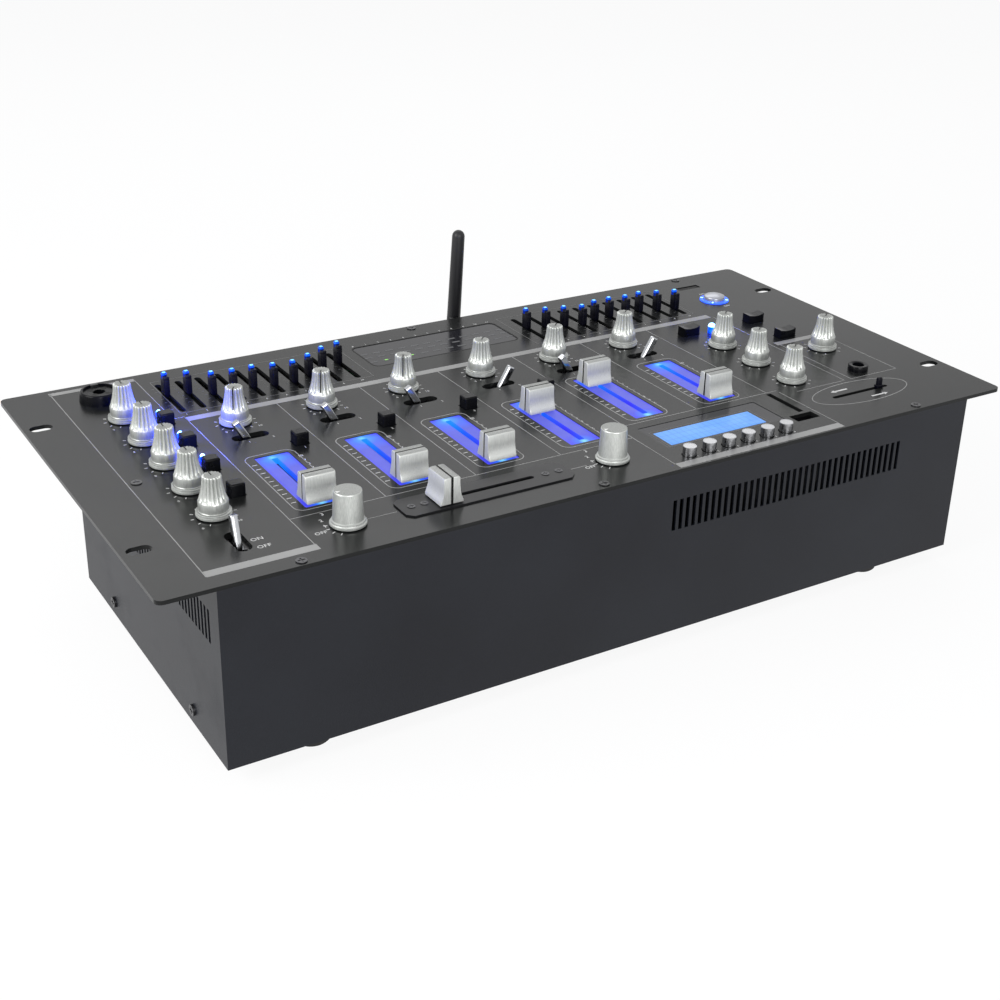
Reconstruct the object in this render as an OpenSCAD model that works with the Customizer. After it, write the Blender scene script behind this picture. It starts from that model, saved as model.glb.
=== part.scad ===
// Rack mixer for disc jockeys: six channels, two ten-band equaliser banks, player and antenna.
// The origin is the middle of the four rack slots on the panel's top face. +X is right, +Y back, +Z up.
// Places on the panel are [x from the middle, y from the front edge].

/* [Rack panel] */
// Width of the rack panel
panel_w = 482.6; // [480:0.1:500]
// Depth of the rack panel, front edge to back edge
panel_d = 237.7; // [237:0.1:260]
// Thickness of the rack panel
panel_t = 2; // [1.6:0.1:3]
// Corner radius of the rack panel
panel_r = 3.5; // [1:0.5:8]
// Distance between the left and right rack slots
rack_x = 465.1; // [462:0.1:466]
// Distance between the front and back rack slots
rack_y = 146.05; // [133.35:0.05:190.5]
// Length of a rack slot
rack_slot_l = 11.5; // [9:0.5:12]
// Width of a rack slot
rack_slot_w = 7; // [5:0.5:7]

/* [Case] */
// Width of the case
case_w = 431.6; // [428:0.1:440]
// Depth of the lower case, front wall to recessed socket wall
case_d = 194.7; // [190:0.1:205]
// Height of the case below the panel
case_h = 89.3; // [86:0.1:120]
// Height of the deeper upper case, below the panel
upper_h = 44; // [40:0.5:48]
// Panel overhang behind the upper case
rear_lip = 0.7; // [0.2:0.1:3]
// Thickness of the case sheet
sheet_t = 1.2; // [0.8:0.1:1.6]
// Width of the turned-in flanges that the panel is screwed to
flange_w = 7.5; // [6:0.1:7.6]
// Diameter of a rubber foot where it meets the base
foot_d = 18; // [14:0.5:22]
// Height of a rubber foot
foot_h = 9; // [6:0.5:14]
// Distance of the feet from the middle, left and right
foot_x = 168.5; // [120:0.5:190]
// Distance of the feet in from the front and back walls
foot_in = 17.5; // [14:0.5:30]

/* [Vents] */
// Distance from one vent slot to the next
vent_pitch = 4; // [3.6:0.1:6]
// Width of a vent slot
vent_w = 2.2; // [1.5:0.1:2.8]
// Height of a vent slot
vent_h = 16.5; // [10:0.5:24]
// Depth of the vents below the panel's top face
vent_drop = 16.5; // [12:0.5:24]
// Slots in the front vent
front_vents = 38; // [20:1:40]
// Slots in each side vent
side_vents = 28; // [8:1:36]

/* [Control places] */
// Channel 1, from the middle
channel_x = -144.8; // [-146:0.1:-143]
// Distance from one channel to the next
channel_pitch = 48; // [46.5:0.1:48.2]
// Row of gain knobs, from the front edge
gain_y = 153.2; // [152:0.1:157]
// Row of input toggles, from the front edge
toggle_y = 134; // [132:0.1:136]
// Row of cue buttons, from the front edge
cue_y = 115.5; // [112:0.1:120]
// Cue button, right of its channel
cue_dx = 18.5; // [16:0.1:20]
// Middle of the fader travel of channels 1 to 4, from the front edge
fader_y = 78; // [76:0.1:80]
// Channels 5 and 6 sit this much further back
far_shift = 12; // [8:0.5:13]
// Left column of knobs
mic_knob_x = -192.5; // [-194:0.1:-191]
// First knob of the left column, from the front edge
mic_knob_y = 61.6; // [60:0.1:66]
// Distance between knobs in the left column
mic_pitch = 30.4; // [28:0.1:31]
// Column of small buttons and LEDs beside the left knobs
mic_button_x = -175.8; // [-178:0.1:-174]
// Middle of the left equaliser bank
eq_left_x = -112.7; // [-113:0.1:-111]
// Middle of the right equaliser bank
eq_right_x = 110.2; // [109:0.1:112]
// Middle of the equaliser travel, from the front edge
eq_y = 199.2; // [197:0.1:201]
// Distance between equaliser sliders
eq_pitch = 11.11; // [10.4:0.01:11.2]
// Middle of the crossfader travel
cross_x = -72.5; // [-74:0.1:-71]
// Crossfader row, from the front edge
cross_y = 25.4; // [24:0.1:27]

/* [Rotary knobs] */
// Top of a ribbed knob above the panel
knob_top = 19.8; // [16:0.1:26]
// Gap between a knob and the panel
knob_lift = 0.4; // [0.3:0.1:2]
// Radius of a ribbed knob at its top
knob_top_r = 4.5; // [3.8:0.1:6]
// Radius of the smooth band
knob_band_r = 6.9; // [6.6:0.1:7.6]
// Radius of the flange
knob_flange_r = 8.2; // [7.8:0.1:9]
// Top of a plain assign knob above the panel
assign_top = 17; // [14:0.1:20]
// Radius of a plain assign knob at its top
assign_top_r = 6.5; // [5:0.1:7]
// Radius of a potentiometer shaft
shaft_r = 3; // [2.5:0.1:3]
// Rotary potentiometer body radius
pot_r = 8; // [6.5:0.1:8.2]

/* [Faders] */
// Travel of the channel faders and of the crossfader
fader_travel = 45; // [40:0.5:46]
// Length of a cap across its slide
cap_w = 15.3; // [12:0.1:16]
// Foot of a cap along its slide
cap_foot = 12; // [10:0.1:12.5]
// Top of a cap along its slide
cap_tip = 8.4; // [6:0.1:9]
// Top of a cap above its seat
cap_top = 13.8; // [10:0.1:18]
// Gap under a cap
cap_lift = 0.5; // [0.3:0.1:1]
// Width of a lit fader window
window_w = 18; // [14:0.5:19]
// Length of a lit fader window
window_l = 60; // [58:0.5:62]
// Width of the slot in a fader window
window_slot = 4; // [3.2:0.1:5]
// Travel of an equaliser slider
eq_travel = 30; // [26:0.5:30]
// Height of an equaliser post above the panel
eq_post_h = 12; // [8:0.5:16]
// Width of an equaliser post
eq_post_w = 3.2; // [2.4:0.1:3.8]
// Length of an equaliser post along its slot
eq_post_l = 5.6; // [4.4:0.1:7]

/* [Switches] */
// Lean of a toggle lever to either side, in degrees
toggle_lean = 30; // [15:1:30]
// Lean of the talkover lever to either side, in degrees
talkover_lean = 17; // [10:1:25]
// Length of a toggle lever from its pivot
lever_l = 15.7; // [12:0.1:18]
// Thickness of a toggle lever, along its swing
lever_t = 4; // [3:0.1:5]
// Width of a toggle lever, across its swing
lever_w = 3.4; // [2.6:0.1:4.6]
// Length of a toggle's slot
toggle_slot_l = 19.4; // [17:0.1:21]
// Width of a toggle's slot
toggle_slot_w = 6.8; // [6:0.1:8]
// Height of the small buttons above the panel
button_h = 6.3; // [4:0.1:8]
// Height of the ends of the wide buttons above the panel
mode_h = 5.2; // [4:0.1:7]
// Height of the player buttons above the panel
player_button_h = 5; // [3:0.1:7]
// Radius of a player button
player_button_r = 3.5; // [2.5:0.1:3.7]
// Travel of every push button
button_travel = 1.2; // [0.8:0.1:1.5]

/* [Antenna] */
// Antenna socket, right of the middle
antenna_x = 37.3; // [20:0.1:60]
// Antenna socket below the panel's top face
antenna_drop = 14; // [11:0.5:20]
// Antenna hinge behind the upper case
antenna_reach = 14.5; // [14:0.1:20]
// Length of the whip from its hinge
whip_l = 64; // [50:1:120]
// Whip radius at its base
whip_r = 4.3; // [3.5:0.1:5]
// Lean of the whip to the right, in degrees
whip_lean = 3.1; // [-10:0.1:10]

/* [Inside] */
// Depth of the control board below the panel
board_drop = 11; // [10.6:0.1:13]
// Thickness of the circuit boards
board_t = 1.6; // [1:0.1:2]
// Height of the main board's standoffs
standoff_h = 7; // [5:0.5:12]
// Radius of the mains transformer
transformer_r = 38; // [28:1:44]
// Height of the mains transformer
transformer_h = 34; // [24:1:36]

/* [Clearances] */
// Radial clearance of a shaft, stem or pivot in its bore
run_gap = 0.05; // [0.02:0.01:0.08]
// Clearance beside and under a sliding stem
slide_gap = 0.25; // [0.15:0.05:0.3]
// Clearance of a fixed insert in its hole
fit_gap = 0.1; // [0.05:0.05:0.15]
// Clearance round a moving cap or shaft in the panel
hole_gap = 0.4; // [0.3:0.05:0.6]

/* [Hidden] */
$fn = 48;

under = -panel_t;
board_z = under - board_drop;
floor_z = under - case_h;
step_z = under - upper_h;
inner_w = case_w - 2 * sheet_t;
upper_d = panel_d - rear_lip;
through = 1;
cut_h = panel_t + 2 * through;
eq_slot = [3.4, eq_travel + 11.2];
slide_slot = 2.8;

// Settings of the faders and sliders, from the middle of their travel
fader_half = fader_travel / 2;
fader_set = [-1, -1, -1, 0.75, 1, -1] * fader_half;
eq_left_set = [6, 3, -4, -5.5, -5.5, -8, -9, -4, 2.5, 6];
eq_right_set = [4, 0, -3, -6, -2.5, -2, -3.5, -2, -5.5, -9];
cross_set = -fader_half;
monitor_set = 13.6;
toggle_side = [-1, -1, -1, 1, -1, 1];

// Places
channels = [0:5];
function channel_at(i) = channel_x + channel_pitch * i;
function fader_mid(i) = fader_y + (i > 3 ? far_shift : 0);
mic_knobs = [for (i = [0:4]) [mic_knob_x, mic_knob_y + mic_pitch * i]];
gain_knobs = [for (i = channels) [channel_at(i), gain_y]];
output_x = 145.8;
output_y = 63.6;
output_knobs = [
    [output_x, output_y],
    [output_x, output_y + mic_pitch],
    [output_x, output_y + 2 * mic_pitch],
    [195.3, output_y + mic_pitch]
];
assign_knobs = [[-143.9, cross_y - 0.4], [-1.4, cross_y - 0.4]];
talkover_at = [-192.8, 32.9];
cue_places = [for (i = [0:3]) [channel_at(i) + cue_dx, cue_y]];
mic_buttons_at = [for (i = [0:3]) [mic_button_x, mic_knob_y + mic_pitch / 2 + i * (mic_pitch + 0.3)]];
led_places = [for (i = [0:2]) [mic_button_x, mic_knob_y + mic_pitch * (i + 1.87)]];
mode_places = [[140, 149.2], [189, 149.2], [189, 120]];
player_first = 35.2;
player_pitch = 12.35;
player_row = 11.4;
player_places = [for (i = [0:5]) [player_first + player_pitch * i, player_row]];
tall_led_at = [153.6, 145];
power_at = [192.5, 191.5];
combo_at = [-195.6, 213.7];
phones_at = [189.9, 58.2];
monitor_at = [168.1, 32.9];
monitor_travel = 32;
receiver_at = [192.2, 218.1];
receiver_size = [16.5, 5.2];
receiver_h = board_drop + panel_t - 0.6;
lcd_at = [68.75, 36.05];
lcd_size = [75.9, 26.3];
meter_at = [-0.6, 204.5];
meter_size = [93.2, 31];
usb_at = [117.9, 20.9];
usb_size = [15, 7.5];
card_at = [120.9, 40.3];
card_size = [3.3, 27];
module_size = [101, 41];
module_at = [77, 36.2];
cross_plate = [90.5, 18.4];
cross_plate_t = 0.8;
panel_screws = [
    [-211.8, 109.3], [-176.1, 3.8], [-20.5, 4.2], [181.2, 4.2],
    [-1, panel_d - 3.7], [194, panel_d - 3.7]
];
cross_screws = [[-112.1, cross_y], [-105.4, cross_y], [-40, cross_y], [-32.5, cross_y]];
posts = [
    [-203, 14], [203, 14], [-205, 138], [-172, 226], [203, 226],
    [-24.8, 134], [23.5, 134], [-24.8, 172], [23.5, 172], [172, 170], [166, 16]
];
foot_places = [
    [-foot_x, foot_in], [foot_x, foot_in],
    [-foot_x, case_d - foot_in], [foot_x, case_d - foot_in]
];

// Hidden details
post_d = 5;
screw_r = 1.5;
screw_head_r = 2.6;
screw_head_h = 0.5;
screw_grip = 4;
foot_grip = 1.5;
side_grip = 3;
cross_l = 1.3;
cross_w = 0.28;
plate_head_r = 1.9;
plate_head_h = 0.3;
foot_head_r = 3.2;
foot_head_h = 2;
case_head_r = 2.8;
case_head_h = 1.2;
board_head_h = 1.6;
bushing_r = 4.5;
slide_body_h = 7.4;
slide_floor = 1.4;
stem_w = 2.4;
stem_l = 5;
eq_stem_w = 1.8;
eq_stem_l = 4;
eq_tip_h = 1.6;
pivot_r = 2;
pivot_half = 4;
pivot_z = under - 2.4;
push_size = 6;
push_stem_r = 1.8;
push_h = 6.2;
push_floor = 0.8;
stem_in = 2.5;
stem_end = board_z + push_h - stem_in;
skirt = button_travel / 2;
button_w = 7.3;
button_l = 6.9;
mode_w = 11.4;
mode_l = 6.4;
mode_dish_r = 16;
tall_led_r = 2.1;
tall_led_h = 6;
led_r = 1.5;
led_h = 3;
power_ring_r = 9.1;
power_ring_h = 0.8;
power_r = 6.5;
power_top = 4.2;
power_dome_r = 16;
guide_flange_t = 1.4;
guide_flange_w = 2;
window_set = 0.3;
glass_set = 0.2;
combo_neck_r = 9;
combo_body_r = 12;
combo_body_h = 26;
phones_neck_r = 4.5;
phones_body_w = 13;
jack_neck_r = 5.5;
jack_bore_r = 3.25;
jack_body = [18, 26, 26];
shaft_floor = 1;
knob_band_top = knob_lift + 7.6;
pointer_w = 0.8;
pointer_low = -30;
pointer_up = 130;
low_knobs = 3;
pointer_depth = 0.4;
front_vent_x = 19.6;
side_vent_y = 12;
side_screw_z = floor_z + 8;
side_screws = [[40, side_screw_z], [150, side_screw_z]];
rear_flange = 8;
side_tab_h = 14;
standoff_r = 3.2;
foot_recess_r = 4;
foot_bevel = 0.8;
thread_r = 3.175;
thread_l = 8;
nut_t = 1.6;
nut_r = 4.4;
knuckle_r = whip_r - 0.1;
tongue_half = 2.5;
pin_r = 1;

// Boards and what stands on them
main_board_size = [276, 96];
main_board_at = [-56, case_d - 62];
standoff_edge = 8;
standoff_apart = main_board_size / 2 - [standoff_edge, standoff_edge];
standoffs = [
    for (x = [-1, 0, 1], y = [-1, 1]) main_board_at + [x * standoff_apart[0], y * standoff_apart[1]]
];
socket_z = floor_z + sheet_t + standoff_h + board_t;
connector_size = [14, 8, 2.4];
connector_first = [-114, -14.7];
connector_pitch = 30;
capacitor_r = 6.2;
capacitor_h = 20;
capacitor_first = [56, -28.7];
capacitor_pitch = 16;
heatsink_at = [-24, -34.7];
heatsink_size = [60, 4, 22];
fin_size = [2, 8];
fin_pitch = 10;
control_board_in = 6.5;
control_board_front = 8;
control_board_back = 6;
meter_columns = 12;
meter_pitch = [8.1, 6.5];
meter_led = [2.4, 4.5];
transformer_at = [148, 84];
transformer_hole_r = 12;

// Rear sockets, on the recessed wall
phono_r = 4.15;
phono_bore_r = 1.6;
phono_pitch = 20;
phono_first = -150;
phono_body = [14, 12, 34];
phono_z = [8, 25];
phono_reach = 9;
phono_places = [for (i = [0:7], z = phono_z) [phono_first + i * phono_pitch, socket_z + z]];
output_places = [for (i = [0, 1]) [26 + i * 24, socket_z + 13]];
inlet_x = 160;
inlet_z = socket_z + 12;
inlet_size = [28, 20];
inlet_flange = [50, 24];
inlet_flange_t = 1.6;
inlet_screw = 20;
inlet_depth = 14;
inlet_mouth = [24, 16];

silver = [0.78, 0.78, 0.77];
anthracite = [0.29, 0.3, 0.3];
case_grey = [0.17, 0.18, 0.2];
black = [0.05, 0.05, 0.06];
lit_blue = [0.35, 0.4, 1];
board_green = [0.05, 0.3, 0.15];
chrome = [0.85, 0.86, 0.88];

// A place on the panel, from the middle and from the front edge
module at(p, z = 0) {
    translate([p[0], p[1] - panel_d / 2, z]) children();
}

// A box standing on z = 0, centred in x and y
module block(w, l, h) {
    translate([-w / 2, -l / 2, 0]) cube([w, l, h]);
}

// A box with round upright corners, standing on z = 0
module round_block(w, l, h, r) {
    block(w - 2 * r, l, h);
    block(w, l - 2 * r, h);
    for (x = [-1, 1], y = [-1, 1])
        translate([x * (w / 2 - r), y * (l / 2 - r), 0]) cylinder(r = r, h = h);
}

// A slot with half-round ends, its length along x
module slot(l, w, h) {
    block(l - w, w, h);
    for (x = [-1, 1]) translate([x * (l - w) / 2, 0, 0]) cylinder(d = w, h = h);
}

// A cut through the panel at a place
module through_panel(p) {
    at(p, under - through) children();
}

module top_panel() {
    color(anthracite) difference() {
        union() {
            translate([0, 0, under]) round_block(panel_w, panel_d, panel_t, panel_r);
            for (p = posts) at(p, board_z) cylinder(d = post_d, h = board_drop);
        }
        for (x = [-1, 1], y = [-1, 1])
            translate([x * rack_x / 2, y * rack_y / 2, under - through])
                slot(rack_slot_l, rack_slot_w, cut_h);
        for (p = concat(mic_knobs, gain_knobs, output_knobs, assign_knobs))
            through_panel(p) cylinder(r = shaft_r + hole_gap, h = cut_h);
        for (i = channels) {
            through_panel([channel_at(i), toggle_y]) slot(toggle_slot_l, toggle_slot_w, cut_h);
            through_panel([channel_at(i), fader_mid(i) + 0.5]) round_block(window_w, window_l, cut_h, 1);
        }
        through_panel(talkover_at) rotate(90) slot(toggle_slot_l, toggle_slot_w + 1.2, cut_h);
        for (i = [0:9], x = [eq_left_x, eq_right_x])
            through_panel([x + (i - 4.5) * eq_pitch, eq_y]) rotate(90) slot(eq_slot[1], eq_slot[0], cut_h);
        through_panel([cross_x, cross_y]) slot(fader_travel + stem_l + 2, slide_slot + 0.4, cut_h);
        through_panel(monitor_at) slot(monitor_travel + eq_stem_l + 3, slide_slot, cut_h);
        through_panel(meter_at) round_block(meter_size[0], meter_size[1], cut_h, 1);
        through_panel(lcd_at) round_block(lcd_size[0], lcd_size[1], cut_h, 1);
        through_panel(usb_at) block(usb_size[0], usb_size[1], cut_h);
        through_panel(card_at) block(card_size[0], card_size[1], cut_h);
        through_panel(receiver_at) block(receiver_size[0], receiver_size[1], cut_h);
        for (p = concat(cue_places, mic_buttons_at))
            through_panel(p) block(button_w + 2 * hole_gap, button_l + 2 * hole_gap, cut_h);
        for (p = mode_places)
            through_panel(p) block(mode_w + 2 * hole_gap, mode_l + 2 * hole_gap, cut_h);
        for (p = player_places)
            through_panel(p) cylinder(r = player_button_r + hole_gap, h = cut_h);
        for (p = led_places) through_panel(p) cylinder(r = led_r + fit_gap, h = cut_h);
        through_panel(tall_led_at) cylinder(r = tall_led_r + fit_gap, h = cut_h);
        through_panel(power_at) cylinder(r = power_ring_r + fit_gap, h = cut_h);
        through_panel(combo_at) cylinder(r = combo_neck_r + fit_gap, h = cut_h);
        through_panel(phones_at) cylinder(r = phones_neck_r + fit_gap, h = cut_h);
        for (p = concat(panel_screws, cross_screws))
            through_panel(p) cylinder(r = screw_r + fit_gap, h = cut_h);
    }
}

// One vertical side wall: full depth above the step, shallower below it
module side_wall(x) {
    front = -panel_d / 2;
    translate([x, front, 0]) rotate([90, 0, 90]) linear_extrude(sheet_t) polygon([
        [0, floor_z], [case_d, floor_z], [case_d, step_z],
        [upper_d, step_z], [upper_d, under], [0, under]
    ]);
}

module case_shell() {
    front = -panel_d / 2;
    vent_z = -vent_drop - vent_h;
    color(case_grey) difference() {
        union() {
            translate([-case_w / 2, front, floor_z]) cube([case_w, sheet_t, case_h]);
            side_wall(-case_w / 2);
            side_wall(case_w / 2 - sheet_t);
            translate([-case_w / 2, front, under - sheet_t]) cube([case_w, flange_w, sheet_t]);
            for (x = [-case_w / 2, case_w / 2 - flange_w])
                translate([x, front, under - sheet_t]) cube([flange_w, upper_d - sheet_t, sheet_t]);
        }
        for (i = [0:front_vents - 1])
            at([front_vent_x + i * vent_pitch, 0], vent_z)
                translate([-vent_w / 2, -through, 0]) cube([vent_w, sheet_t + 2 * through, vent_h]);
        for (i = [0:side_vents - 1], x = [-1, 1])
            at([x * (case_w - sheet_t) / 2, side_vent_y + i * vent_pitch], vent_z)
                block(sheet_t + 2 * through, vent_w, vent_h);
        for (p = panel_screws) flange_hole(p);
        for (x = [-1, 1], s = side_screws) side_hole(x * case_w / 2, s);
    }
}

// A screw hole through a flange below the panel
module flange_hole(p) {
    at(p, under - sheet_t - through) cylinder(r = screw_r + fit_gap, h = sheet_t + 2 * through);
}

// A screw hole through the sheets near a side wall
module side_hole(x, s) {
    at([x, s[0]], s[1]) rotate([0, 90, 0])
        cylinder(r = screw_r + fit_gap, h = 4 * sheet_t, center = true);
}

module base_plate() {
    plate_d = case_d - 2 * sheet_t;
    color(case_grey) difference() {
        union() {
            translate([-inner_w / 2, sheet_t - panel_d / 2, floor_z]) cube([inner_w, plate_d, sheet_t]);
            for (x = [-inner_w / 2, inner_w / 2 - sheet_t])
                translate([x, sheet_t - panel_d / 2, floor_z]) cube([sheet_t, plate_d, side_tab_h]);
            for (p = standoffs) at(p, floor_z) cylinder(r = standoff_r, h = sheet_t + standoff_h);
        }
        for (p = foot_places) at(p, floor_z - through)
            cylinder(r = screw_r + fit_gap, h = sheet_t + 2 * through);
        for (x = [-1, 1], s = side_screws) side_hole(x * inner_w / 2, s);
    }
}

// Rear sheet, bent twice: upper wall, step, recessed socket wall
module rear_panel() {
    front = -panel_d / 2;
    half = inner_w / 2;
    color(case_grey) difference() {
        union() {
            translate([-half, front + upper_d - sheet_t, step_z]) cube([inner_w, sheet_t, upper_h]);
            translate([-half, front + case_d - sheet_t, step_z])
                cube([inner_w, upper_d - case_d + sheet_t, sheet_t]);
            translate([-half, front + case_d - sheet_t, floor_z])
                cube([inner_w, sheet_t, case_h - upper_h + sheet_t]);
            translate([flange_w - case_w / 2, front + upper_d - rear_flange, under - sheet_t])
                cube([case_w - 2 * flange_w, rear_flange, sheet_t]);
        }
        for (p = panel_screws) flange_hole(p);
        at([antenna_x, upper_d], -antenna_drop) rotate([90, 0, 0])
            cylinder(r = thread_r + fit_gap, h = 4 * sheet_t, center = true);
        for (p = phono_places) rear_hole(p, phono_r + fit_gap);
        for (p = output_places) rear_hole(p, jack_neck_r + fit_gap);
        at([inlet_x, case_d], inlet_z)
            upright_block(inlet_size[0] + 2 * fit_gap, inlet_size[1] + 2 * fit_gap, -2 * sheet_t, sheet_t);
        for (x = [-1, 1]) rear_hole([inlet_x + x * inlet_screw, inlet_z], screw_r + fit_gap);
    }
}

// A block centred in x and z, from one depth in y to another
module upright_block(w, h, from, to) {
    translate([-w / 2, from, -h / 2]) cube([w, to - from, h]);
}

// A round hole through the recessed wall at [x, z]
module rear_hole(p, r) {
    at([p[0], case_d], p[1]) rotate([90, 0, 0]) cylinder(r = r, h = 4 * sheet_t, center = true);
}

module feet() {
    color(black) for (p = foot_places) at(p, floor_z - foot_h) difference() {
        rotate_extrude() polygon([
            [0, 0], [foot_d / 2 - foot_bevel, 0], [foot_d / 2, foot_bevel],
            [foot_d / 2, foot_h], [0, foot_h]
        ]);
        translate([0, 0, -through]) cylinder(r = foot_recess_r, h = foot_h / 2 + through);
        cylinder(r = screw_r + fit_gap, h = foot_h + through);
    }
}

// A screw with its head on z = 0, pointing down, and a cross recess
module screw(l, head_r = screw_head_r, head_h = screw_head_h) {
    difference() {
        union() {
            cylinder(r = head_r, h = head_h);
            translate([0, 0, -l]) cylinder(r = screw_r, h = l + head_h / 2);
        }
        for (a = [0, 90]) rotate(a) translate([0, 0, head_h / 2])
            block(head_r * cross_l, head_r * cross_w, head_h);
    }
}

module screws() {
    color(silver) {
        for (p = panel_screws) at(p) screw(panel_t + sheet_t + screw_grip);
        for (p = cross_screws) at(p, cross_plate_t)
            screw(panel_t + cross_plate_t, plate_head_r, plate_head_h);
        for (p = foot_places) at(p, floor_z - foot_h / 2) rotate([180, 0, 0])
            screw(foot_h / 2 + sheet_t + foot_grip, foot_head_r, foot_head_h);
        for (x = [-1, 1], s = side_screws) at([x * case_w / 2, s[0]], s[1]) rotate([0, x * 90, 0])
            screw(2 * sheet_t + side_grip, case_head_r, case_head_h);
        for (x = [-1, 1])
            at([inlet_x + x * inlet_screw, case_d + inlet_flange_t], inlet_z) rotate([-90, 0, 0])
                screw(inlet_flange_t + sheet_t + screw_grip, screw_head_r, case_head_h);
        for (p = standoffs) at(p, socket_z) screw(board_t, case_head_r, board_head_h);
    }
}

module main_board() {
    color(board_green) difference() {
        at(main_board_at, socket_z - board_t) block(main_board_size[0], main_board_size[1], board_t);
        for (p = standoffs) at(p, socket_z - board_t - through)
            cylinder(r = screw_r + fit_gap, h = board_t + 2 * through);
    }
    color(black) {
        for (i = [0:4]) at(main_board_at + connector_first + [i * connector_pitch, 0], socket_z)
            block(connector_size[0], connector_size[1], connector_size[2]);
        for (i = [0:3]) at(main_board_at + capacitor_first + [i * capacitor_pitch, 0], socket_z)
            cylinder(r = capacitor_r, h = capacitor_h);
    }
    color(silver) at(main_board_at + heatsink_at, socket_z) {
        block(heatsink_size[0], heatsink_size[1], heatsink_size[2]);
        for (i = [0:5])
            translate([(i - 2.5) * fin_pitch, (heatsink_size[1] + fin_size[1]) / 2 - through, 0])
                block(fin_size[0], fin_size[1], heatsink_size[2]);
    }
}

module control_board() {
    back = upper_d - sheet_t - control_board_back;
    depth = back - control_board_front;
    color(board_green) difference() {
        at([0, control_board_front + depth / 2], board_z - board_t)
            block(inner_w - 2 * control_board_in, depth, board_t);
        // Corner left free for the microphone jack
        at([combo_at[0] - combo_body_r / 2, combo_at[1] + combo_body_r / 3], board_z - board_t - through)
            block(3.5 * combo_body_r, 3 * combo_body_r, board_t + 2 * through);
    }
    // Lamps of the level meter
    color(lit_blue) for (i = [0:meter_columns - 1], y = [-1, 0, 1])
        at(meter_at + [(i - (meter_columns - 1) / 2) * meter_pitch[0], y * meter_pitch[1] - 3], board_z)
            block(meter_led[0], meter_led[1], board_drop - guide_flange_t - 2 * fit_gap);
    // Remote receiver under its window
    color(black) at(receiver_at, board_z)
        block(receiver_size[0] - 2 * fit_gap, receiver_size[1] - 2 * fit_gap, receiver_h);
}

module power_transformer() {
    base = floor_z + sheet_t;
    plate_r = transformer_r * 0.55;
    at(transformer_at, base) {
        color([0.1, 0.1, 0.12]) rotate_extrude() polygon([
            [transformer_hole_r, 0], [transformer_r - 6, 0], [transformer_r - 1.5, 3], [transformer_r, 8],
            [transformer_r, transformer_h - 8], [transformer_r - 1.5, transformer_h - 3],
            [transformer_r - 6, transformer_h], [transformer_hole_r, transformer_h]
        ]);
        color(silver) translate([0, 0, transformer_h]) {
            cylinder(r = plate_r, h = 1.5);
            cylinder(r = 5, h = 5);
        }
        color(silver) cylinder(r = 4, h = transformer_h);
    }
}

// Rotary potentiometer standing on the control board, its bushing against the panel
module rotary_pots() {
    body_h = 6.5;
    blind = slide_gap;
    color([0.35, 0.36, 0.38]) for (p = concat(mic_knobs, gain_knobs, output_knobs, assign_knobs))
        at(p, board_z) difference() {
            union() {
                cylinder(r = pot_r, h = body_h);
                cylinder(r = bushing_r, h = board_drop);
            }
            translate([0, 0, shaft_floor - blind])
                cylinder(r = shaft_r + run_gap, h = board_drop + through);
        }
}

// Slide potentiometer standing on the control board, its slot along y
module slide_pot(travel, w, sw, sl) {
    l = travel + sl + 12;
    difference() {
        block(w, l, slide_body_h);
        translate([0, 0, slide_floor]) block(sw + 2 * slide_gap, travel + sl + 2 * slide_gap, slide_body_h);
    }
}

module slide_pots() {
    color([0.6, 0.61, 0.62]) {
        for (i = channels) at([channel_at(i), fader_mid(i)], board_z)
            slide_pot(fader_travel, 9, stem_w, stem_l);
        at([cross_x, cross_y], board_z) rotate(90) slide_pot(fader_travel, 9, slide_slot - 1, stem_l);
        at(monitor_at, board_z) rotate(90) slide_pot(monitor_travel, 8, eq_stem_w, eq_stem_l);
        for (i = [0:9], x = [eq_left_x, eq_right_x])
            at([x + (i - 4.5) * eq_pitch, eq_y], board_z) slide_pot(eq_travel, 8, eq_stem_w, eq_stem_l);
    }
}

// Body of a toggle switch, its lever swinging along x, with bores for the pivot
module toggle_body() {
    h = board_drop;
    difference() {
        block(20, 12, h);
        translate([0, 0, 1.5]) block(16, lever_w + 0.8, h);
        translate([0, 0, pivot_z - board_z]) rotate([90, 0, 0])
            cylinder(r = pivot_r + run_gap, h = 2 * (pivot_half + slide_gap), center = true);
    }
}

// Body of a push switch with the bore that its stem slides in
module push_body(w, stem_r) {
    difference() {
        block(w, w, push_h);
        translate([0, 0, push_floor]) cylinder(r = stem_r + run_gap, h = push_h);
    }
}

module switch_bodies() {
    color([0.12, 0.12, 0.13]) {
        for (i = channels) at([channel_at(i), toggle_y], board_z) toggle_body();
        at(talkover_at, board_z) rotate(90) toggle_body();
        for (p = concat(cue_places, mic_buttons_at, mode_places, player_places))
            at(p, board_z) push_body(push_size, push_stem_r);
        at(power_at, board_z) push_body(14, shaft_r);
    }
}

// Lit inserts: one under each channel fader and the ring round the power button
module light_guides() {
    color(lit_blue) {
        for (i = channels) at([channel_at(i), fader_mid(i) + 0.5]) difference() {
            union() {
                guide_flange(window_w, window_l);
                translate([0, 0, under - through]) round_block(
                    window_w - 2 * fit_gap, window_l - 2 * fit_gap, panel_t + through - window_set, 0.9
                );
            }
            translate([0, -0.5, under - 2 * guide_flange_t])
                block(window_slot, fader_travel + stem_l + 2, cut_h + guide_flange_t);
        }
        at(power_at, under) difference() {
            union() {
                cylinder(r = power_ring_r, h = panel_t + power_ring_h);
                translate([0, 0, -guide_flange_t])
                    cylinder(r = power_ring_r + guide_flange_w, h = guide_flange_t);
            }
            translate([0, 0, -guide_flange_t - through])
                cylinder(r = power_r + hole_gap, h = cut_h + guide_flange_t + power_ring_h);
        }
    }
}

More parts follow.
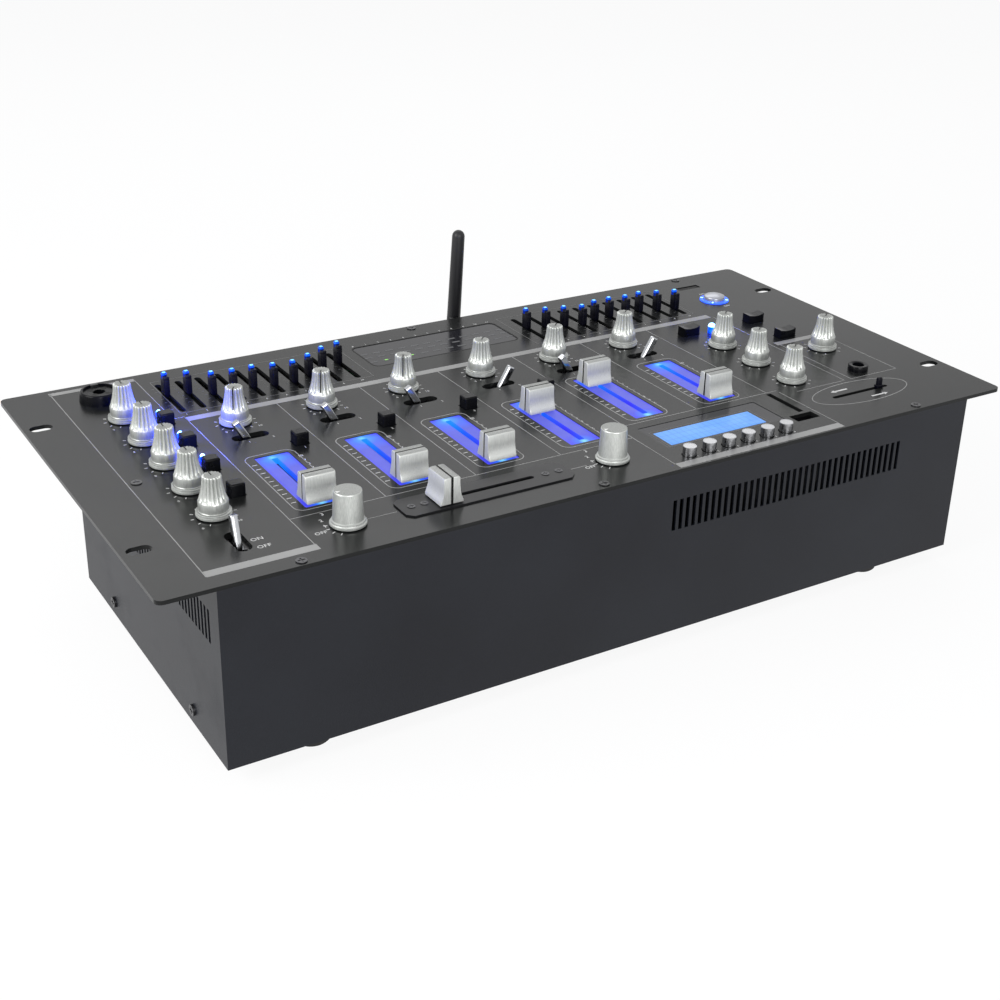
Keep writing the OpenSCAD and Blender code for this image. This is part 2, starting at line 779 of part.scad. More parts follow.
// Flange of an insert, against the underside of the panel
module guide_flange(w, l) {
    translate([0, 0, under - guide_flange_t])
        block(w + 2 * guide_flange_w, l + 2 * guide_flange_w, guide_flange_t);
}

module led(r, h) {
    translate([0, 0, board_z]) cylinder(r = r, h = h - r - board_z);
    translate([0, 0, h - r]) sphere(r = r);
}

module indicator_leds() {
    color([0.3, 0.5, 1]) {
        for (p = led_places) at(p) led(led_r, led_h);
        at(tall_led_at) led(tall_led_r, tall_led_h);
    }
}

// Clear windows over the display and the level meter
module display_windows() {
    color([0.06, 0.06, 0.09]) {
        at(lcd_at, under) glass(lcd_size);
        at(meter_at, under) glass(meter_size);
        at(meter_at) guide_flange(meter_size[0], meter_size[1]);
    }
}

// A window that fills its hole, just below the panel's top face
module glass(size) {
    round_block(size[0] - 2 * fit_gap, size[1] - 2 * fit_gap, panel_t - glass_set, 0.9);
}

// Player module: display, USB socket and card reader between the panel and the control board
module player_module() {
    wall = 1.5;
    tongue = [usb_size[0] - 4, 1.8];
    color(black) difference() {
        at(module_at, board_z) block(module_size[0], module_size[1], board_drop);
        at(usb_at, board_z + wall) block(usb_size[0] - 1, usb_size[1] - 0.4, board_drop);
        at(card_at, board_z + wall) block(card_size[0] - 0.6, card_size[1] - 0.6, board_drop);
    }
    color("white") at([usb_at[0], usb_at[1] + (usb_size[1] - tongue[1]) / 2 - 0.2], board_z + wall)
        block(tongue[0], tongue[1], board_drop - 2 * wall);
}

// Combination microphone jack and headphone jack
module panel_sockets() {
    color(black) {
        at(combo_at) difference() {
            union() {
                translate([0, 0, under]) cylinder(r = combo_neck_r, h = panel_t);
                translate([0, 0, under - combo_body_h]) cylinder(r = combo_body_r, h = combo_body_h);
                rotate_extrude() polygon([
                    [0, 0], [10.4, 0], [9.8, 5], [9.3, 5.8], [8.2, 5.8], [8.2, 4.6], [0, 4.6]
                ]);
            }
            translate([0, 0, under - combo_body_h + 2]) cylinder(r = jack_bore_r, h = combo_body_h + 14);
            for (a = [30, 150, 270]) rotate(a) translate([0, 5.4, under - 10]) cylinder(r = 1.4, h = 30);
        }
        at(phones_at) difference() {
            union() {
                translate([0, 0, board_z]) block(phones_body_w, phones_body_w, board_drop);
                translate([0, 0, under]) cylinder(r = phones_neck_r, h = panel_t);
                cylinder(r = 5.65, h = 3.8);
            }
            translate([0, 0, board_z + 1]) cylinder(r = jack_bore_r, h = 2 * board_drop);
        }
    }
}

module rear_sockets() {
    y = case_d - sheet_t;
    for (i = [0:7]) color([0.15, 0.15, 0.16])
        at([phono_places[2 * i][0], y - phono_body[1] / 2], socket_z) difference() {
            block(phono_body[0], phono_body[1], phono_body[2]);
            for (z = phono_z) translate([0, 0, z]) rotate([90, 0, 0])
                cylinder(r = phono_bore_r, h = 2 * phono_body[1], center = true);
        }
    for (p = phono_places) color(p[1] > socket_z + phono_z[0] ? "white" : "firebrick")
        at([p[0], y], p[1]) rotate([-90, 0, 0]) difference() {
            cylinder(r = phono_r, h = sheet_t + phono_reach);
            translate([0, 0, -through]) cylinder(r = phono_bore_r, h = sheet_t + phono_reach + 2 * through);
        }
    for (p = output_places) color(black) at([p[0], y], p[1]) rotate([-90, 0, 0]) difference() {
        union() {
            translate([-jack_body[0] / 2, -jack_body[1] / 2, -jack_body[2]]) cube(jack_body);
            cylinder(r = jack_neck_r, h = sheet_t + 5);
            translate([0, 0, sheet_t]) cylinder(r = 8, h = 2.5, $fn = 6);
        }
        translate([0, 0, 2 - jack_body[2]]) cylinder(r = jack_bore_r, h = jack_body[2] + 14);
    }
    color(black) at([inlet_x, case_d], inlet_z) difference() {
        union() {
            upright_block(inlet_flange[0], inlet_flange[1], 0, inlet_flange_t);
            upright_block(inlet_size[0], inlet_size[1], -20, 0);
        }
        upright_block(inlet_mouth[0], inlet_mouth[1], -inlet_depth, 6);
        for (x = [-1, 1]) translate([x * inlet_screw, 0, 0]) rotate([90, 0, 0])
            cylinder(r = screw_r + fit_gap, h = 10, center = true);
    }
    color(silver) at([inlet_x, case_d], inlet_z)
        for (p = [[-7, -4], [7, -4], [0, 0]]) translate([p[0], 0, p[1]])
            upright_block(2, 4, -inlet_depth, -3);
    color("gold") at([antenna_x, upper_d - sheet_t], -antenna_drop) rotate([-90, 0, 0]) {
        translate([0, 0, -3]) cylinder(r = 4.5, h = 3, $fn = 6);
        cylinder(r = thread_r, h = sheet_t + thread_l);
        translate([0, 0, sheet_t]) cylinder(r = nut_r, h = nut_t, $fn = 6);
    }
}

module crossfader_plate() {
    c = 3;
    w = cross_plate[0] / 2;
    d = cross_plate[1] / 2;
    color(black) at([cross_x - 0.25, cross_y]) difference() {
        linear_extrude(cross_plate_t) polygon([
            [c - w, -d], [w - c, -d], [w, c - d], [w, d - c],
            [w - c, d], [c - w, d], [-w, d - c], [-w, c - d]
        ]);
        translate([0.25, 0, -through]) {
            slot(fader_travel + stem_l + 2, slide_slot, 3);
            for (p = cross_screws) translate([p[0] - cross_x, 0, 0]) cylinder(r = screw_r + fit_gap, h = 3);
        }
    }
}

// Ribbed knob with its shaft: grooved flange, smooth band and a waist that narrows upwards.
// The pointer is turned from the front, in degrees.
module ribbed_knob(pointer = 0) {
    flare = [for (i = [0:5]) [
        knob_top_r + (knob_band_r - 0.3 - knob_top_r) * pow(1 - i / 5, 1.9),
        knob_band_top + (knob_top - 0.7 - knob_band_top) * i / 5
    ]];
    color(silver) difference() {
        rotate_extrude() polygon(concat(
            [[0, knob_lift], [knob_flange_r - 0.4, knob_lift], [knob_flange_r, knob_lift + 0.4]],
            [[knob_flange_r, knob_lift + 1.2], [knob_flange_r - 0.5, knob_lift + 1.4]],
            [[knob_flange_r - 0.5, knob_lift + 1.6], [knob_flange_r - 0.1, knob_lift + 1.8]],
            [[knob_flange_r - 0.1, knob_lift + 2.3], [knob_flange_r - 0.5, knob_lift + 2.6]],
            [[knob_band_r, knob_lift + 2.7], [knob_band_r, knob_band_top - 0.3]],
            flare,
            [[knob_top_r - 0.5, knob_top], [0, knob_top]]
        ));
        rotate(pointer) translate([0, -knob_top_r / 2 - 0.5, knob_top - pointer_depth])
            block(pointer_w, knob_top_r + 1, 1);
    }
    color(silver) knob_shaft();
}

module knob_shaft() {
    translate([0, 0, board_z + shaft_floor]) cylinder(r = shaft_r, h = knob_lift - board_z - shaft_floor);
}

module assign_knob() {
    r = assign_top_r;
    color(silver) rotate_extrude() polygon([
        [0, knob_lift], [r + 1.8, knob_lift], [r + 2, knob_lift + 0.3], [r + 2, knob_lift + 1.1],
        [r + 1.2, knob_lift + 1.4], [r + 1.2, knob_lift + 2.4], [r + 0.6, knob_lift + 2.7],
        [r + 0.5, knob_lift + 3.4], [r, assign_top - 0.6], [r - 0.6, assign_top], [0, assign_top]
    ]);
    color(silver) knob_shaft();
}

// Fader cap with flared feet and a groove, on its stem; it slides along y
module fader_cap(seat, sw) {
    f = cap_foot / 2;
    t = cap_tip / 2;
    h = cap_top;
    half = [
        [f, cap_lift], [f, cap_lift + 1.2],
        [f - (f - t) * 0.55, cap_lift + 2.6], [f - (f - t) * 0.85, cap_lift + 4.6],
        [t, cap_lift + 7], [t, h - 0.7], [t - 0.5, h]
    ];
    color(silver) difference() {
        translate([0, 0, seat]) rotate([90, 0, 90]) linear_extrude(cap_w, center = true)
            polygon(concat(half, [for (i = [len(half) - 1:-1:0]) [-half[i][0], half[i][1]]]));
        translate([0, 0, seat + h - 0.5]) block(cap_w + 1, 0.9, 1);
    }
    color("silver") translate([0, 0, board_z + slide_floor + slide_gap])
        block(sw, stem_l, seat + cap_lift - board_z - slide_floor - slide_gap);
}

module channel_fader(i) {
    at([channel_at(i), fader_mid(i) + fader_set[i]]) fader_cap(0, stem_w);
}

module crossfader() {
    at([cross_x + cross_set, cross_y]) rotate(90) fader_cap(cross_plate_t, slide_slot - 1);
}

// Toggle lever on its pivot, swinging along x; the lean is positive to the right
module toggle_lever(lean, l = lever_l) {
    color(chrome) translate([0, 0, pivot_z]) rotate([0, lean, 0]) {
        rotate([90, 0, 0]) cylinder(r = pivot_r, h = 2 * pivot_half, center = true);
        block(lever_t, lever_w, l - lever_t / 2);
        translate([0, 0, l - lever_t / 2]) rotate([90, 0, 0])
            cylinder(d = lever_t, h = lever_w, center = true);
    }
}

module input_toggle(i) {
    at([channel_at(i), toggle_y]) toggle_lever(toggle_side[i] * toggle_lean);
}

module talkover_toggle() {
    at(talkover_at) rotate(90) toggle_lever(talkover_lean, lever_l + 0.4);
}

module monitor_slider() {
    color(black) at([monitor_at[0] + monitor_set, monitor_at[1]]) {
        translate([0, 0, 0.4]) block(4.6, 3.2, 1.2);
        translate([0, 0, 0.4]) block(3.2, 2.4, 5.4);
        translate([0, 0, board_z + slide_floor + slide_gap])
            block(eq_stem_l, eq_stem_w, 0.6 - board_z - slide_floor - slide_gap);
    }
}

// Square post with a lit tip above its back half
module eq_post() {
    color(black) {
        translate([0, 0, 0.5]) block(eq_post_w, eq_post_l, eq_post_h - eq_tip_h - 0.5);
        translate([0, eq_post_l / 4, 0.5]) block(eq_post_w - 0.4, eq_post_l / 2 - 0.4, eq_post_h - 0.5);
        translate([0, 0, board_z + slide_floor + slide_gap])
            block(eq_stem_w, eq_stem_l, 1 - board_z - slide_floor - slide_gap);
    }
}

module eq_bank(x, set) {
    for (i = [0:9]) at([x + (i - 4.5) * eq_pitch, eq_y + set[i]]) eq_post();
}

module eq_sliders_left() {
    eq_bank(eq_left_x, eq_left_set);
}

module eq_sliders_right() {
    eq_bank(eq_right_x, eq_right_set);
}

// Square cap on a round stem that slides in the push switch
module button(w, l, h) {
    bottom = under - skirt;
    translate([0, 0, bottom]) block(w, l, h - bottom);
    translate([0, 0, stem_end]) cylinder(r = push_stem_r, h = bottom + 0.5 - stem_end);
}

module cue_buttons() {
    color(black) for (p = cue_places) at(p) button(button_w, button_l, button_h);
}

module mic_buttons() {
    color(black) for (p = mic_buttons_at) at(p) button(button_w, button_l, button_h);
}

// Wide cap with a hollowed top
module mode_buttons() {
    color(black) for (p = mode_places) at(p) difference() {
        button(mode_w, mode_l, mode_h);
        translate([0, 0, mode_h - 1 + mode_dish_r]) rotate([90, 0, 0])
            cylinder(r = mode_dish_r, h = mode_l + 2, center = true);
    }
}

module player_buttons() {
    edge = 0.4;
    color(chrome) for (p = player_places) at(p) {
        translate([0, 0, under - skirt])
            cylinder(r = player_button_r, h = player_button_h - edge - under + skirt);
        translate([0, 0, player_button_h - edge])
            cylinder(r1 = player_button_r, r2 = player_button_r - edge, h = edge);
        translate([0, 0, stem_end]) cylinder(r = push_stem_r, h = under - stem_end);
    }
}

module power_button() {
    color(silver) at(power_at) {
        intersection() {
            translate([0, 0, under]) cylinder(r = power_r, h = 10);
            translate([0, 0, power_top - power_dome_r]) sphere(r = power_dome_r, $fn = 96);
        }
        translate([0, 0, stem_end]) cylinder(r = shaft_r, h = under + 1 - stem_end);
    }
}

// Socket axis and hinge of the antenna
module at_antenna() {
    at([antenna_x, upper_d], -antenna_drop) rotate([0, whip_lean, 0]) children();
}

module antenna_base() {
    fork_back = antenna_reach - knuckle_r;
    collar_start = nut_t + 0.3;
    color(black) at_antenna() difference() {
        union() {
            translate([0, fork_back - 1, 0]) rotate([90, 0, 0])
                cylinder(r = whip_r + 0.3, h = fork_back - 1 - collar_start);
            translate([0, antenna_reach, 0]) rotate([0, 90, 0])
                cylinder(r = knuckle_r, h = 2 * whip_r, center = true);
            translate([-whip_r, fork_back - 1, -knuckle_r])
                cube([2 * whip_r, knuckle_r + 1, 2 * knuckle_r]);
        }
        translate([-tongue_half - fit_gap, fork_back - 0.4, -whip_r - 1])
            cube([2 * (tongue_half + fit_gap), 2 * whip_r + 3, 2 * whip_r + 2]);
        rotate([-90, 0, 0]) cylinder(r = thread_r + run_gap, h = thread_l + slide_gap);
    }
    color(silver) at_antenna() translate([0, antenna_reach, 0]) rotate([0, 90, 0])
        cylinder(r = pin_r, h = 2 * whip_r - 0.4, center = true);
}

module antenna_whip() {
    tip_r = whip_r * 0.89;
    shoulder = whip_r + 0.2;
    color(black) at_antenna() translate([0, antenna_reach, 0]) {
        difference() {
            union() {
                rotate([0, 90, 0]) cylinder(r = knuckle_r - 0.6, h = 2 * tongue_half, center = true);
                block(2 * tongue_half, 2 * (knuckle_r - 0.6), shoulder + 1);
            }
            rotate([0, 90, 0]) cylinder(r = pin_r + run_gap, h = 4 * tongue_half, center = true);
        }
        translate([0, 0, shoulder]) cylinder(r1 = whip_r, r2 = tip_r, h = whip_l - shoulder - tip_r);
        translate([0, 0, whip_l - tip_r]) sphere(r = tip_r);
    }
}

top_panel();
case_shell();
base_plate();
rear_panel();
feet();
screws();
main_board();
control_board();
power_transformer();
rotary_pots();
slide_pots();
switch_bodies();
light_guides();
indicator_leds();
display_windows();
player_module();
panel_sockets();
rear_sockets();
crossfader_plate();
for (i = [0:4]) at(mic_knobs[i]) ribbed_knob(180);
for (i = channels)
    at(gain_knobs[i])
        ribbed_knob(i < low_knobs ? pointer_low : pointer_up);
for (i = [0:3])
    at(output_knobs[i])
        ribbed_knob(pointer_up);
at(assign_knobs[0]) assign_knob();  // assign_knob_a
at(assign_knobs[1]) assign_knob();  // assign_knob_b
for (i = channels) channel_fader(i);
crossfader();
for (i = channels) input_toggle(i);
talkover_toggle();
monitor_slider();
eq_sliders_left();
eq_sliders_right();
cue_buttons();
mic_buttons();
mode_buttons();
player_buttons();
power_button();
antenna_base();
antenna_whip();
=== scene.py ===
# Dresses the rack mixer's frame: paint, lit windows, knobs, faders, buttons, print and studio.
# Sizes are millimetres on the panel: x from its middle, y from its front edge, z from its top face.
import math

import bmesh
import bpy
from mathutils import Matrix, Vector


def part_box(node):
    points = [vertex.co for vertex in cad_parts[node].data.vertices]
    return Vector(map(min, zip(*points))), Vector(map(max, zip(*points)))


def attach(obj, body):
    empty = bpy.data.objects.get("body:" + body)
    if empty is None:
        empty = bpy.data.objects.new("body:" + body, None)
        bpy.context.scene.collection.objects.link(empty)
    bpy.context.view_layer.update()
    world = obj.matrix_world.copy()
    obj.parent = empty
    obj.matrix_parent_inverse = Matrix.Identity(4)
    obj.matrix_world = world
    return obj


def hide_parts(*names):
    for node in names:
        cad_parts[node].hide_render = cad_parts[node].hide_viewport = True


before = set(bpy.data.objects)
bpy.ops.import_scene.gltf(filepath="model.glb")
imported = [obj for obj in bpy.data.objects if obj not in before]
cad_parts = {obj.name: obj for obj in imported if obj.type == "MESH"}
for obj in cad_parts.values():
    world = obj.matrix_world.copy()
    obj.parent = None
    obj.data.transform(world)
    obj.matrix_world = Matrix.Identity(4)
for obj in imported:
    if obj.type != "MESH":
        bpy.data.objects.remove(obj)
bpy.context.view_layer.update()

MM = 0.001
PANEL_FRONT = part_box("top_panel")[0].y / MM
FLOOR_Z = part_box("feet")[0].z / MM

# ---------------- sizes
CHANNEL_X = -144.8
CHANNEL_PITCH = 48.0
CHANNELS = [CHANNEL_X + CHANNEL_PITCH * i for i in range(6)]
FADER_MID = [78.0, 78.0, 78.0, 78.0, 90.0, 90.0]
CUE_X = [x + 18.5 for x in CHANNELS[:4]]
PLAYER_X = [35.2 + 12.35 * i for i in range(6)]
TOGGLE_Y = 134.0
TOGGLE_SIDE = [-1, -1, -1, 1, -1, 1]
TOGGLE_LEAN = 30.0
TOGGLE_LENGTH = 15.7
TALKOVER_AT = (-192.8, 32.9)
TALKOVER_LEAN = 17.0
PIVOT_Z = -4.4
LED_PLACES = [(-175.8, 61.6 + 30.4 * (i + 1.87)) for i in range(3)]
TALL_LED = (153.6, 145.0)
LED_FOOT = -13.0
WINDOW = (17.8, 59.8)
WINDOW_SLOT = (3.2, 52.0)
WINDOW_SHIFT = 0.5
WINDOW_TOP = -0.3
WINDOW_LOW = -3.4
KNOB_TOP = 19.8
KNOB_LIFT = 0.4
KNOB_BAND_TOP = 8.0
KNOB_SEGMENTS = 128
FLUTES = 16
FLUTE_DEPTH = 0.85
POINTER_LOW = -30.0
POINTER_UP = 130.0
POINTERS = {"mic_knob": [180.0] * 5, "gain_knob": [POINTER_LOW] * 3 + [POINTER_UP] * 3,
            "output_knob": [POINTER_UP] * 4}
SHAFT_R = 3.0
SHAFT_Z = -12.0
CAP_W = 15.3
CAP_FOOT = 12.0
CAP_TIP = 8.4
CAP_TOP = 13.8
CAP_GAP = 0.6
CROSSFADER_SEAT = 0.8
STEM_Z = -11.3
BUTTON_BOTTOM = -2.6
KEY_STEM_R = 1.8
KEY_STEM_Z = -9.3
PRINT_T = 0.05
EQ_Y = 199.2
EQ_PITCH = 11.11
EQ_COLUMNS = {side: [middle + (i - 4.5) * EQ_PITCH for i in range(10)]
              for side, middle in (("left", -112.7), ("right", 110.2))}
METER_AT = (-0.6, 204.5)
METER_PITCH = 8.1
METER_HALF = (47.2, 16.1)
LCD_LOW = (34.6, 25.0)
LCD_HIGH = (95.8, 40.8)
POWER_AT = (192.5, 191.5)
RECEIVER_AT = (192.2, 218.1)
RECEIVER_SIZE = (16.3, 5.0)
COMBO_AT = (-195.6, 213.7)
PHONES_AT = (189.9, 58.2)
PLUG_R = 3.25
PHONO_X = -150.0
PHONO_PITCH = 20.0
PHONO_Z = (-73.5, -56.5)
SOCKET_WALL_Y = 194.7
WHIP_AT = (37.3, 251.5, -14.0)
WHIP_LEAN = 3.1
WHIP_R = 3.8
WHIP_LENGTH = 60.15


def numbered(label, count):
    return ["%s_%d" % (label, i + 1) for i in range(count)]


def centre(node):
    """Middle of a node on the panel: x from the middle, y from the front edge."""
    low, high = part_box(node)
    return (low.x + high.x) / 2 / MM, (low.y + high.y) / 2 / MM - PANEL_FRONT


def at(x, y, z=0.0):
    return Matrix.Translation((x, y + PANEL_FRONT, z))


def nudge(y):
    return Matrix.Translation((0, y, 0))


def turn(degrees, axis="Z"):
    return Matrix.Rotation(math.radians(degrees), 4, axis)


# ---------------- node helpers
MIX_A, MIX_B, MIX_RESULT = 6, 7, 2    # numbers of the Mix node's colour sockets


def feed(tree, node, values):
    """Sets or links a node's inputs, each given by its label or its number."""
    for label, value in values.items():
        if isinstance(value, bpy.types.NodeSocket):
            tree.links.new(value, node.inputs[label])
        else:
            node.inputs[label].default_value = value
    return node


def add(tree, kind, values):
    return feed(tree, tree.nodes.new(kind), values)


def new_group(name, kind, inputs, outputs):
    """An empty node group with its sockets, each label given with its kind of value."""
    tree = bpy.data.node_groups.new(name, kind + "NodeTree")
    sockets = {}
    for side, labels in (("INPUT", inputs), ("OUTPUT", outputs)):
        for label, value_kind in labels.items():
            socket_type = "NodeSocket" + value_kind
            sockets[label] = tree.interface.new_socket(name=label, in_out=side, socket_type=socket_type)
    return tree, sockets, tree.nodes.new("NodeGroupInput"), tree.nodes.new("NodeGroupOutput")


def maths(tree, operation, first, second=0.0):
    node = add(tree, "ShaderNodeMath", {0: first, 1: second})
    node.operation = operation
    return node.outputs[0]


def times(tree, first, second):
    return maths(tree, "MULTIPLY", first, second)


def noise(tree, place, scale, detail, roughness=0.5):
    values = {"Vector": place, "Scale": scale, "Detail": detail, "Roughness": roughness}
    return add(tree, "ShaderNodeTexNoise", values).outputs["Fac"]


def remap(tree, value, from_low, from_high, to_low=0.0, to_high=1.0):
    node = add(tree, "ShaderNodeMapRange", {
        "Value": value, "From Min": from_low, "From Max": from_high, "To Min": to_low, "To Max": to_high})
    return node.outputs["Result"]


def blend_colours(tree, factor, first, second):
    first, second = ((*c, 1.0) if isinstance(c, tuple) else c for c in (first, second))
    node = tree.nodes.new("ShaderNodeMix")
    node.data_type = "RGBA"
    return feed(tree, node, {"Factor": factor, MIX_A: first, MIX_B: second}).outputs[MIX_RESULT]


def separate(tree, vector):
    return add(tree, "ShaderNodeSeparateXYZ", {"Vector": vector}).outputs


def combine(tree, values):
    return add(tree, "ShaderNodeCombineXYZ", values).outputs["Vector"]


# ---------------- shader groups
def shader_group(name, inputs, outputs):
    """A shader group that reads a place and some numbers, and gives values that change over a surface."""
    kinds = {"Place": "Vector", **{label: "Float" for label in inputs}}
    tree, _, source, sink = new_group(name, "Shader", kinds, {label: "Float" for label in outputs})
    return tree, sink, source.outputs[:len(kinds)]


def build_surface_grain():
    """Fine grain for bump, and a slow drift of tone over the surface."""
    tree, sink, (place, grain, drift) = shader_group("surface_grain", ("Grain", "Drift"), ("Height", "Tone"))
    tone = remap(tree, noise(tree, place, drift, 2.0), 0.3, 0.7)
    feed(tree, sink, {"Height": noise(tree, place, grain, 4.0, 0.6), "Tone": tone})
    return tree


def build_handling_marks():
    """Soft smears left by fingers, and scattered fine dust."""
    tree, sink, (place, size, amount) = shader_group("handling_marks", ("Size", "Amount"), ("Smear", "Dust"))
    smear = remap(tree, noise(tree, place, size, 3.0, 0.65), 0.52, 0.75)
    speck = remap(tree, noise(tree, place, 1400.0, 1.0), 0.74, 0.8)
    feed(tree, sink, {"Smear": times(tree, smear, amount),
                      "Dust": times(tree, speck, amount)})
    return tree


def build_brushing():
    """Fine upright brush lines: noise drawn out along z, which reads as speckle on a top face."""
    labels = ("Fineness", "Drawn Out")
    tree, sink, (place, fineness, shrink) = shader_group("brushing", labels, ("Streak", "Height"))
    x, y, z = separate(tree, place)[:3]
    drawn = combine(tree, {"X": x, "Y": y, "Z": times(tree, z, shrink)})
    lines = noise(tree, drawn, fineness, 3.0, 0.6)
    feed(tree, sink, {"Streak": remap(tree, lines, 0.36, 0.64), "Height": lines})
    return tree


SURFACE_GRAIN = build_surface_grain()
BRUSHING = build_brushing()
HANDLING_MARKS = build_handling_marks()


# ---------------- materials
RELIEF_DEPTH = 0.0002
BRUSH_LINES = {"Fineness": 6000.0, "Drawn Out": 0.05}


def use_group(tree, group, place, values):
    node = tree.nodes.new("ShaderNodeGroup")
    node.node_tree = group
    return feed(tree, node, {"Place": place, **values}).outputs


def start_material(name):
    """A new material with its tree, its shader and the coordinates to read."""
    material = bpy.data.materials.new(name)
    material.use_nodes = True
    tree = material.node_tree
    return material, tree, tree.nodes["Principled BSDF"], tree.nodes.new("ShaderNodeTexCoord").outputs


def dress(tree, shader, place, marks, base, dusty, roughness, height, bump, values):
    """Dust over the base colour, smears in a (low, high) roughness, and relief from a height."""
    worn = use_group(tree, HANDLING_MARKS, place, {"Size": marks[0], "Amount": marks[1]})
    relief = add(tree, "ShaderNodeBump", {"Strength": bump, "Distance": RELIEF_DEPTH, "Height": height})
    feed(tree, shader, {
        "Base Color": blend_colours(tree, worn["Dust"], base, dusty),
        "Roughness": remap(tree, worn["Smear"], 0.0, 1.0, *roughness),
        "Normal": relief.outputs["Normal"], **values})


def finish(name, dark, light, roughness, metallic=0.0, specular=0.5,
           grain=900.0, drift=9.0, bump=0.1, marks=(30.0, 0.5)):
    """A solid finish: tone drifts between two colours, with grain, smears and dust."""
    material, tree, shader, coordinates = start_material(name)
    place = coordinates["Object"]
    texture = use_group(tree, SURFACE_GRAIN, place, {"Grain": grain, "Drift": drift})
    base = blend_colours(tree, texture["Tone"], dark, light)
    dusty = tuple(min(1.0, c * 1.25 + 0.01) for c in light)
    dress(tree, shader, place, marks, base, dusty, (roughness, roughness + 0.16), texture["Height"], bump,
          {"Metallic": metallic, "Specular IOR Level": specular})
    return material


def brushed(name, dark, light, roughness, metallic):
    """Brushed metal: upright lines shift its tone, faces that look up get painted shade, with smears and
    dust.
    """
    material, tree, shader, coordinates = start_material(name)
    place = coordinates["Object"]
    lines = use_group(tree, BRUSHING, place, BRUSH_LINES)
    flanks = blend_colours(tree, lines["Streak"], dark, light)
    # painted shade: faces that look up take a darker copy of the streaked colours
    shaded_top_dark = tuple(c * 0.3 for c in dark)
    shaded_top_light = tuple(c * 0.55 for c in light)
    crown = blend_colours(tree, lines["Streak"], shaded_top_dark, shaded_top_light)
    top_shade_mask = remap(tree, separate(tree, coordinates["Normal"])["Z"], 0.8, 0.97)
    dusty = tuple(min(1.0, c * 1.15) for c in light)
    dress(tree, shader, place, (140.0, 0.5), blend_colours(tree, top_shade_mask, flanks, crown), dusty,
          (roughness, roughness + 0.14), lines["Height"], 0.07,
          {"Metallic": metallic, "Specular IOR Level": 0.4})
    return material


def light_up(tree, shader, colour, strength, base, roughness=0.5, specular=0.5):
    feed(tree, shader, {"Emission Color": colour, "Emission Strength": strength, "Base Color": base,
                        "Roughness": roughness, "Specular IOR Level": specular})


def lit(name, dark, light, strength, drift=400.0, roughness=0.3):
    """A translucent plastic that glows, its colour drifting a little."""
    material, tree, shader, coordinates = start_material(name)
    texture = use_group(tree, SURFACE_GRAIN, coordinates["Object"], {"Grain": 400.0, "Drift": drift})
    glow = blend_colours(tree, texture["Tone"], dark, light)
    light_up(tree, shader, glow, strength, glow, roughness, 0.2)
    return material


def ramp(tree, factor, stops):
    node = add(tree, "ShaderNodeValToRGB", {"Fac": factor})
    elements = node.color_ramp.elements
    while len(elements) < len(stops):
        elements.new(0.5)
    for element, (position, colour) in zip(elements, stops):
        element.position = position
        element.color = (*colour, 1.0)
    return node.outputs["Color"]


def spot(tree, uv, u, v, reach, stretch):
    """A soft round highlight at a place of the window's own map: 1 at its middle, 0 at its reach."""
    shift = add(tree, "ShaderNodeMapping", {
        "Vector": uv, "Scale": (1.0, stretch, 1.0), "Location": (-u, -v * stretch, 0.0)})
    length = add(tree, "ShaderNodeVectorMath", {0: shift.outputs["Vector"]})
    length.operation = "LENGTH"
    return remap(tree, length.outputs["Value"], 0.0, reach, 1.0, 0.0)


def window_material():
    """Fader window lit from both ends: azure at the lamps, violet between, deeper blue at its long edges."""
    material, tree, shader, coordinates = start_material("lit_guide_plastic")
    uv = coordinates["UV"]
    across, along = separate(tree, uv)[:2]
    blue, violet, azure = (0.02, 0.025, 0.72), (0.07, 0.088, 0.53), (0.0, 0.15, 0.95)
    colour = ramp(tree, along, [(0.0, blue), (0.2, violet), (0.72, violet), (0.93, azure), (1.0, blue)])
    side = maths(tree, "ABSOLUTE", maths(tree, "SUBTRACT", across, 0.5))
    colour = blend_colours(tree, remap(tree, side, 0.38, 0.5, 0.0, 0.7), colour, (0.02, 0.02, 0.75))
    lamps = [((0.5, 0.95, 0.36, 2.6), (0.0, 0.38, 1.0)), ((0.5, 0.04, 0.4, 3.4), (0.0, 0.25, 1.0)),
             ((0.5, 0.03, 0.16, 3.4), (0.25, 0.85, 1.0)), ((0.46, 0.955, 0.14, 3.4), (0.12, 0.7, 1.0))]
    for where, glow in lamps:
        colour = blend_colours(tree, spot(tree, uv, *where), colour, glow)
    grain = use_group(tree, SURFACE_GRAIN, coordinates["Object"], {"Grain": 260.0, "Drift": 140.0})
    colour = blend_colours(tree, times(tree, grain["Tone"], 0.14), colour, (0.2, 0.2, 1.0))
    light_up(tree, shader, colour, 1.0, (0.03, 0.03, 0.16, 1.0), 0.4, 0.15)
    return material


def slot_wall_material():
    """Walls of the slot in a lit window: azure at the far lamp, deep blue towards the front."""
    material, tree, shader, coordinates = start_material("lit_slot_wall")
    colour = ramp(tree, separate(tree, coordinates["UV"])["Y"], [
        (0.0, (0.02, 0.1, 0.9)), (0.35, (0.03, 0.02, 0.7)), (0.7, (0.0, 0.1, 0.85)), (1.0, (0.0, 0.3, 1.0))])
    light_up(tree, shader, colour, 0.95, (0.02, 0.03, 0.3, 1.0))
    return material


def brick_mask(tree, place, width, height, mortar):
    """The joint lines of a grid of bricks, with its sizes in millimetres."""
    node = add(tree, "ShaderNodeTexBrick", {
        "Vector": place, "Scale": 1.0, "Brick Width": width * MM, "Row Height": height * MM,
        "Mortar Size": mortar * MM})
    return node, node.outputs["Fac"]


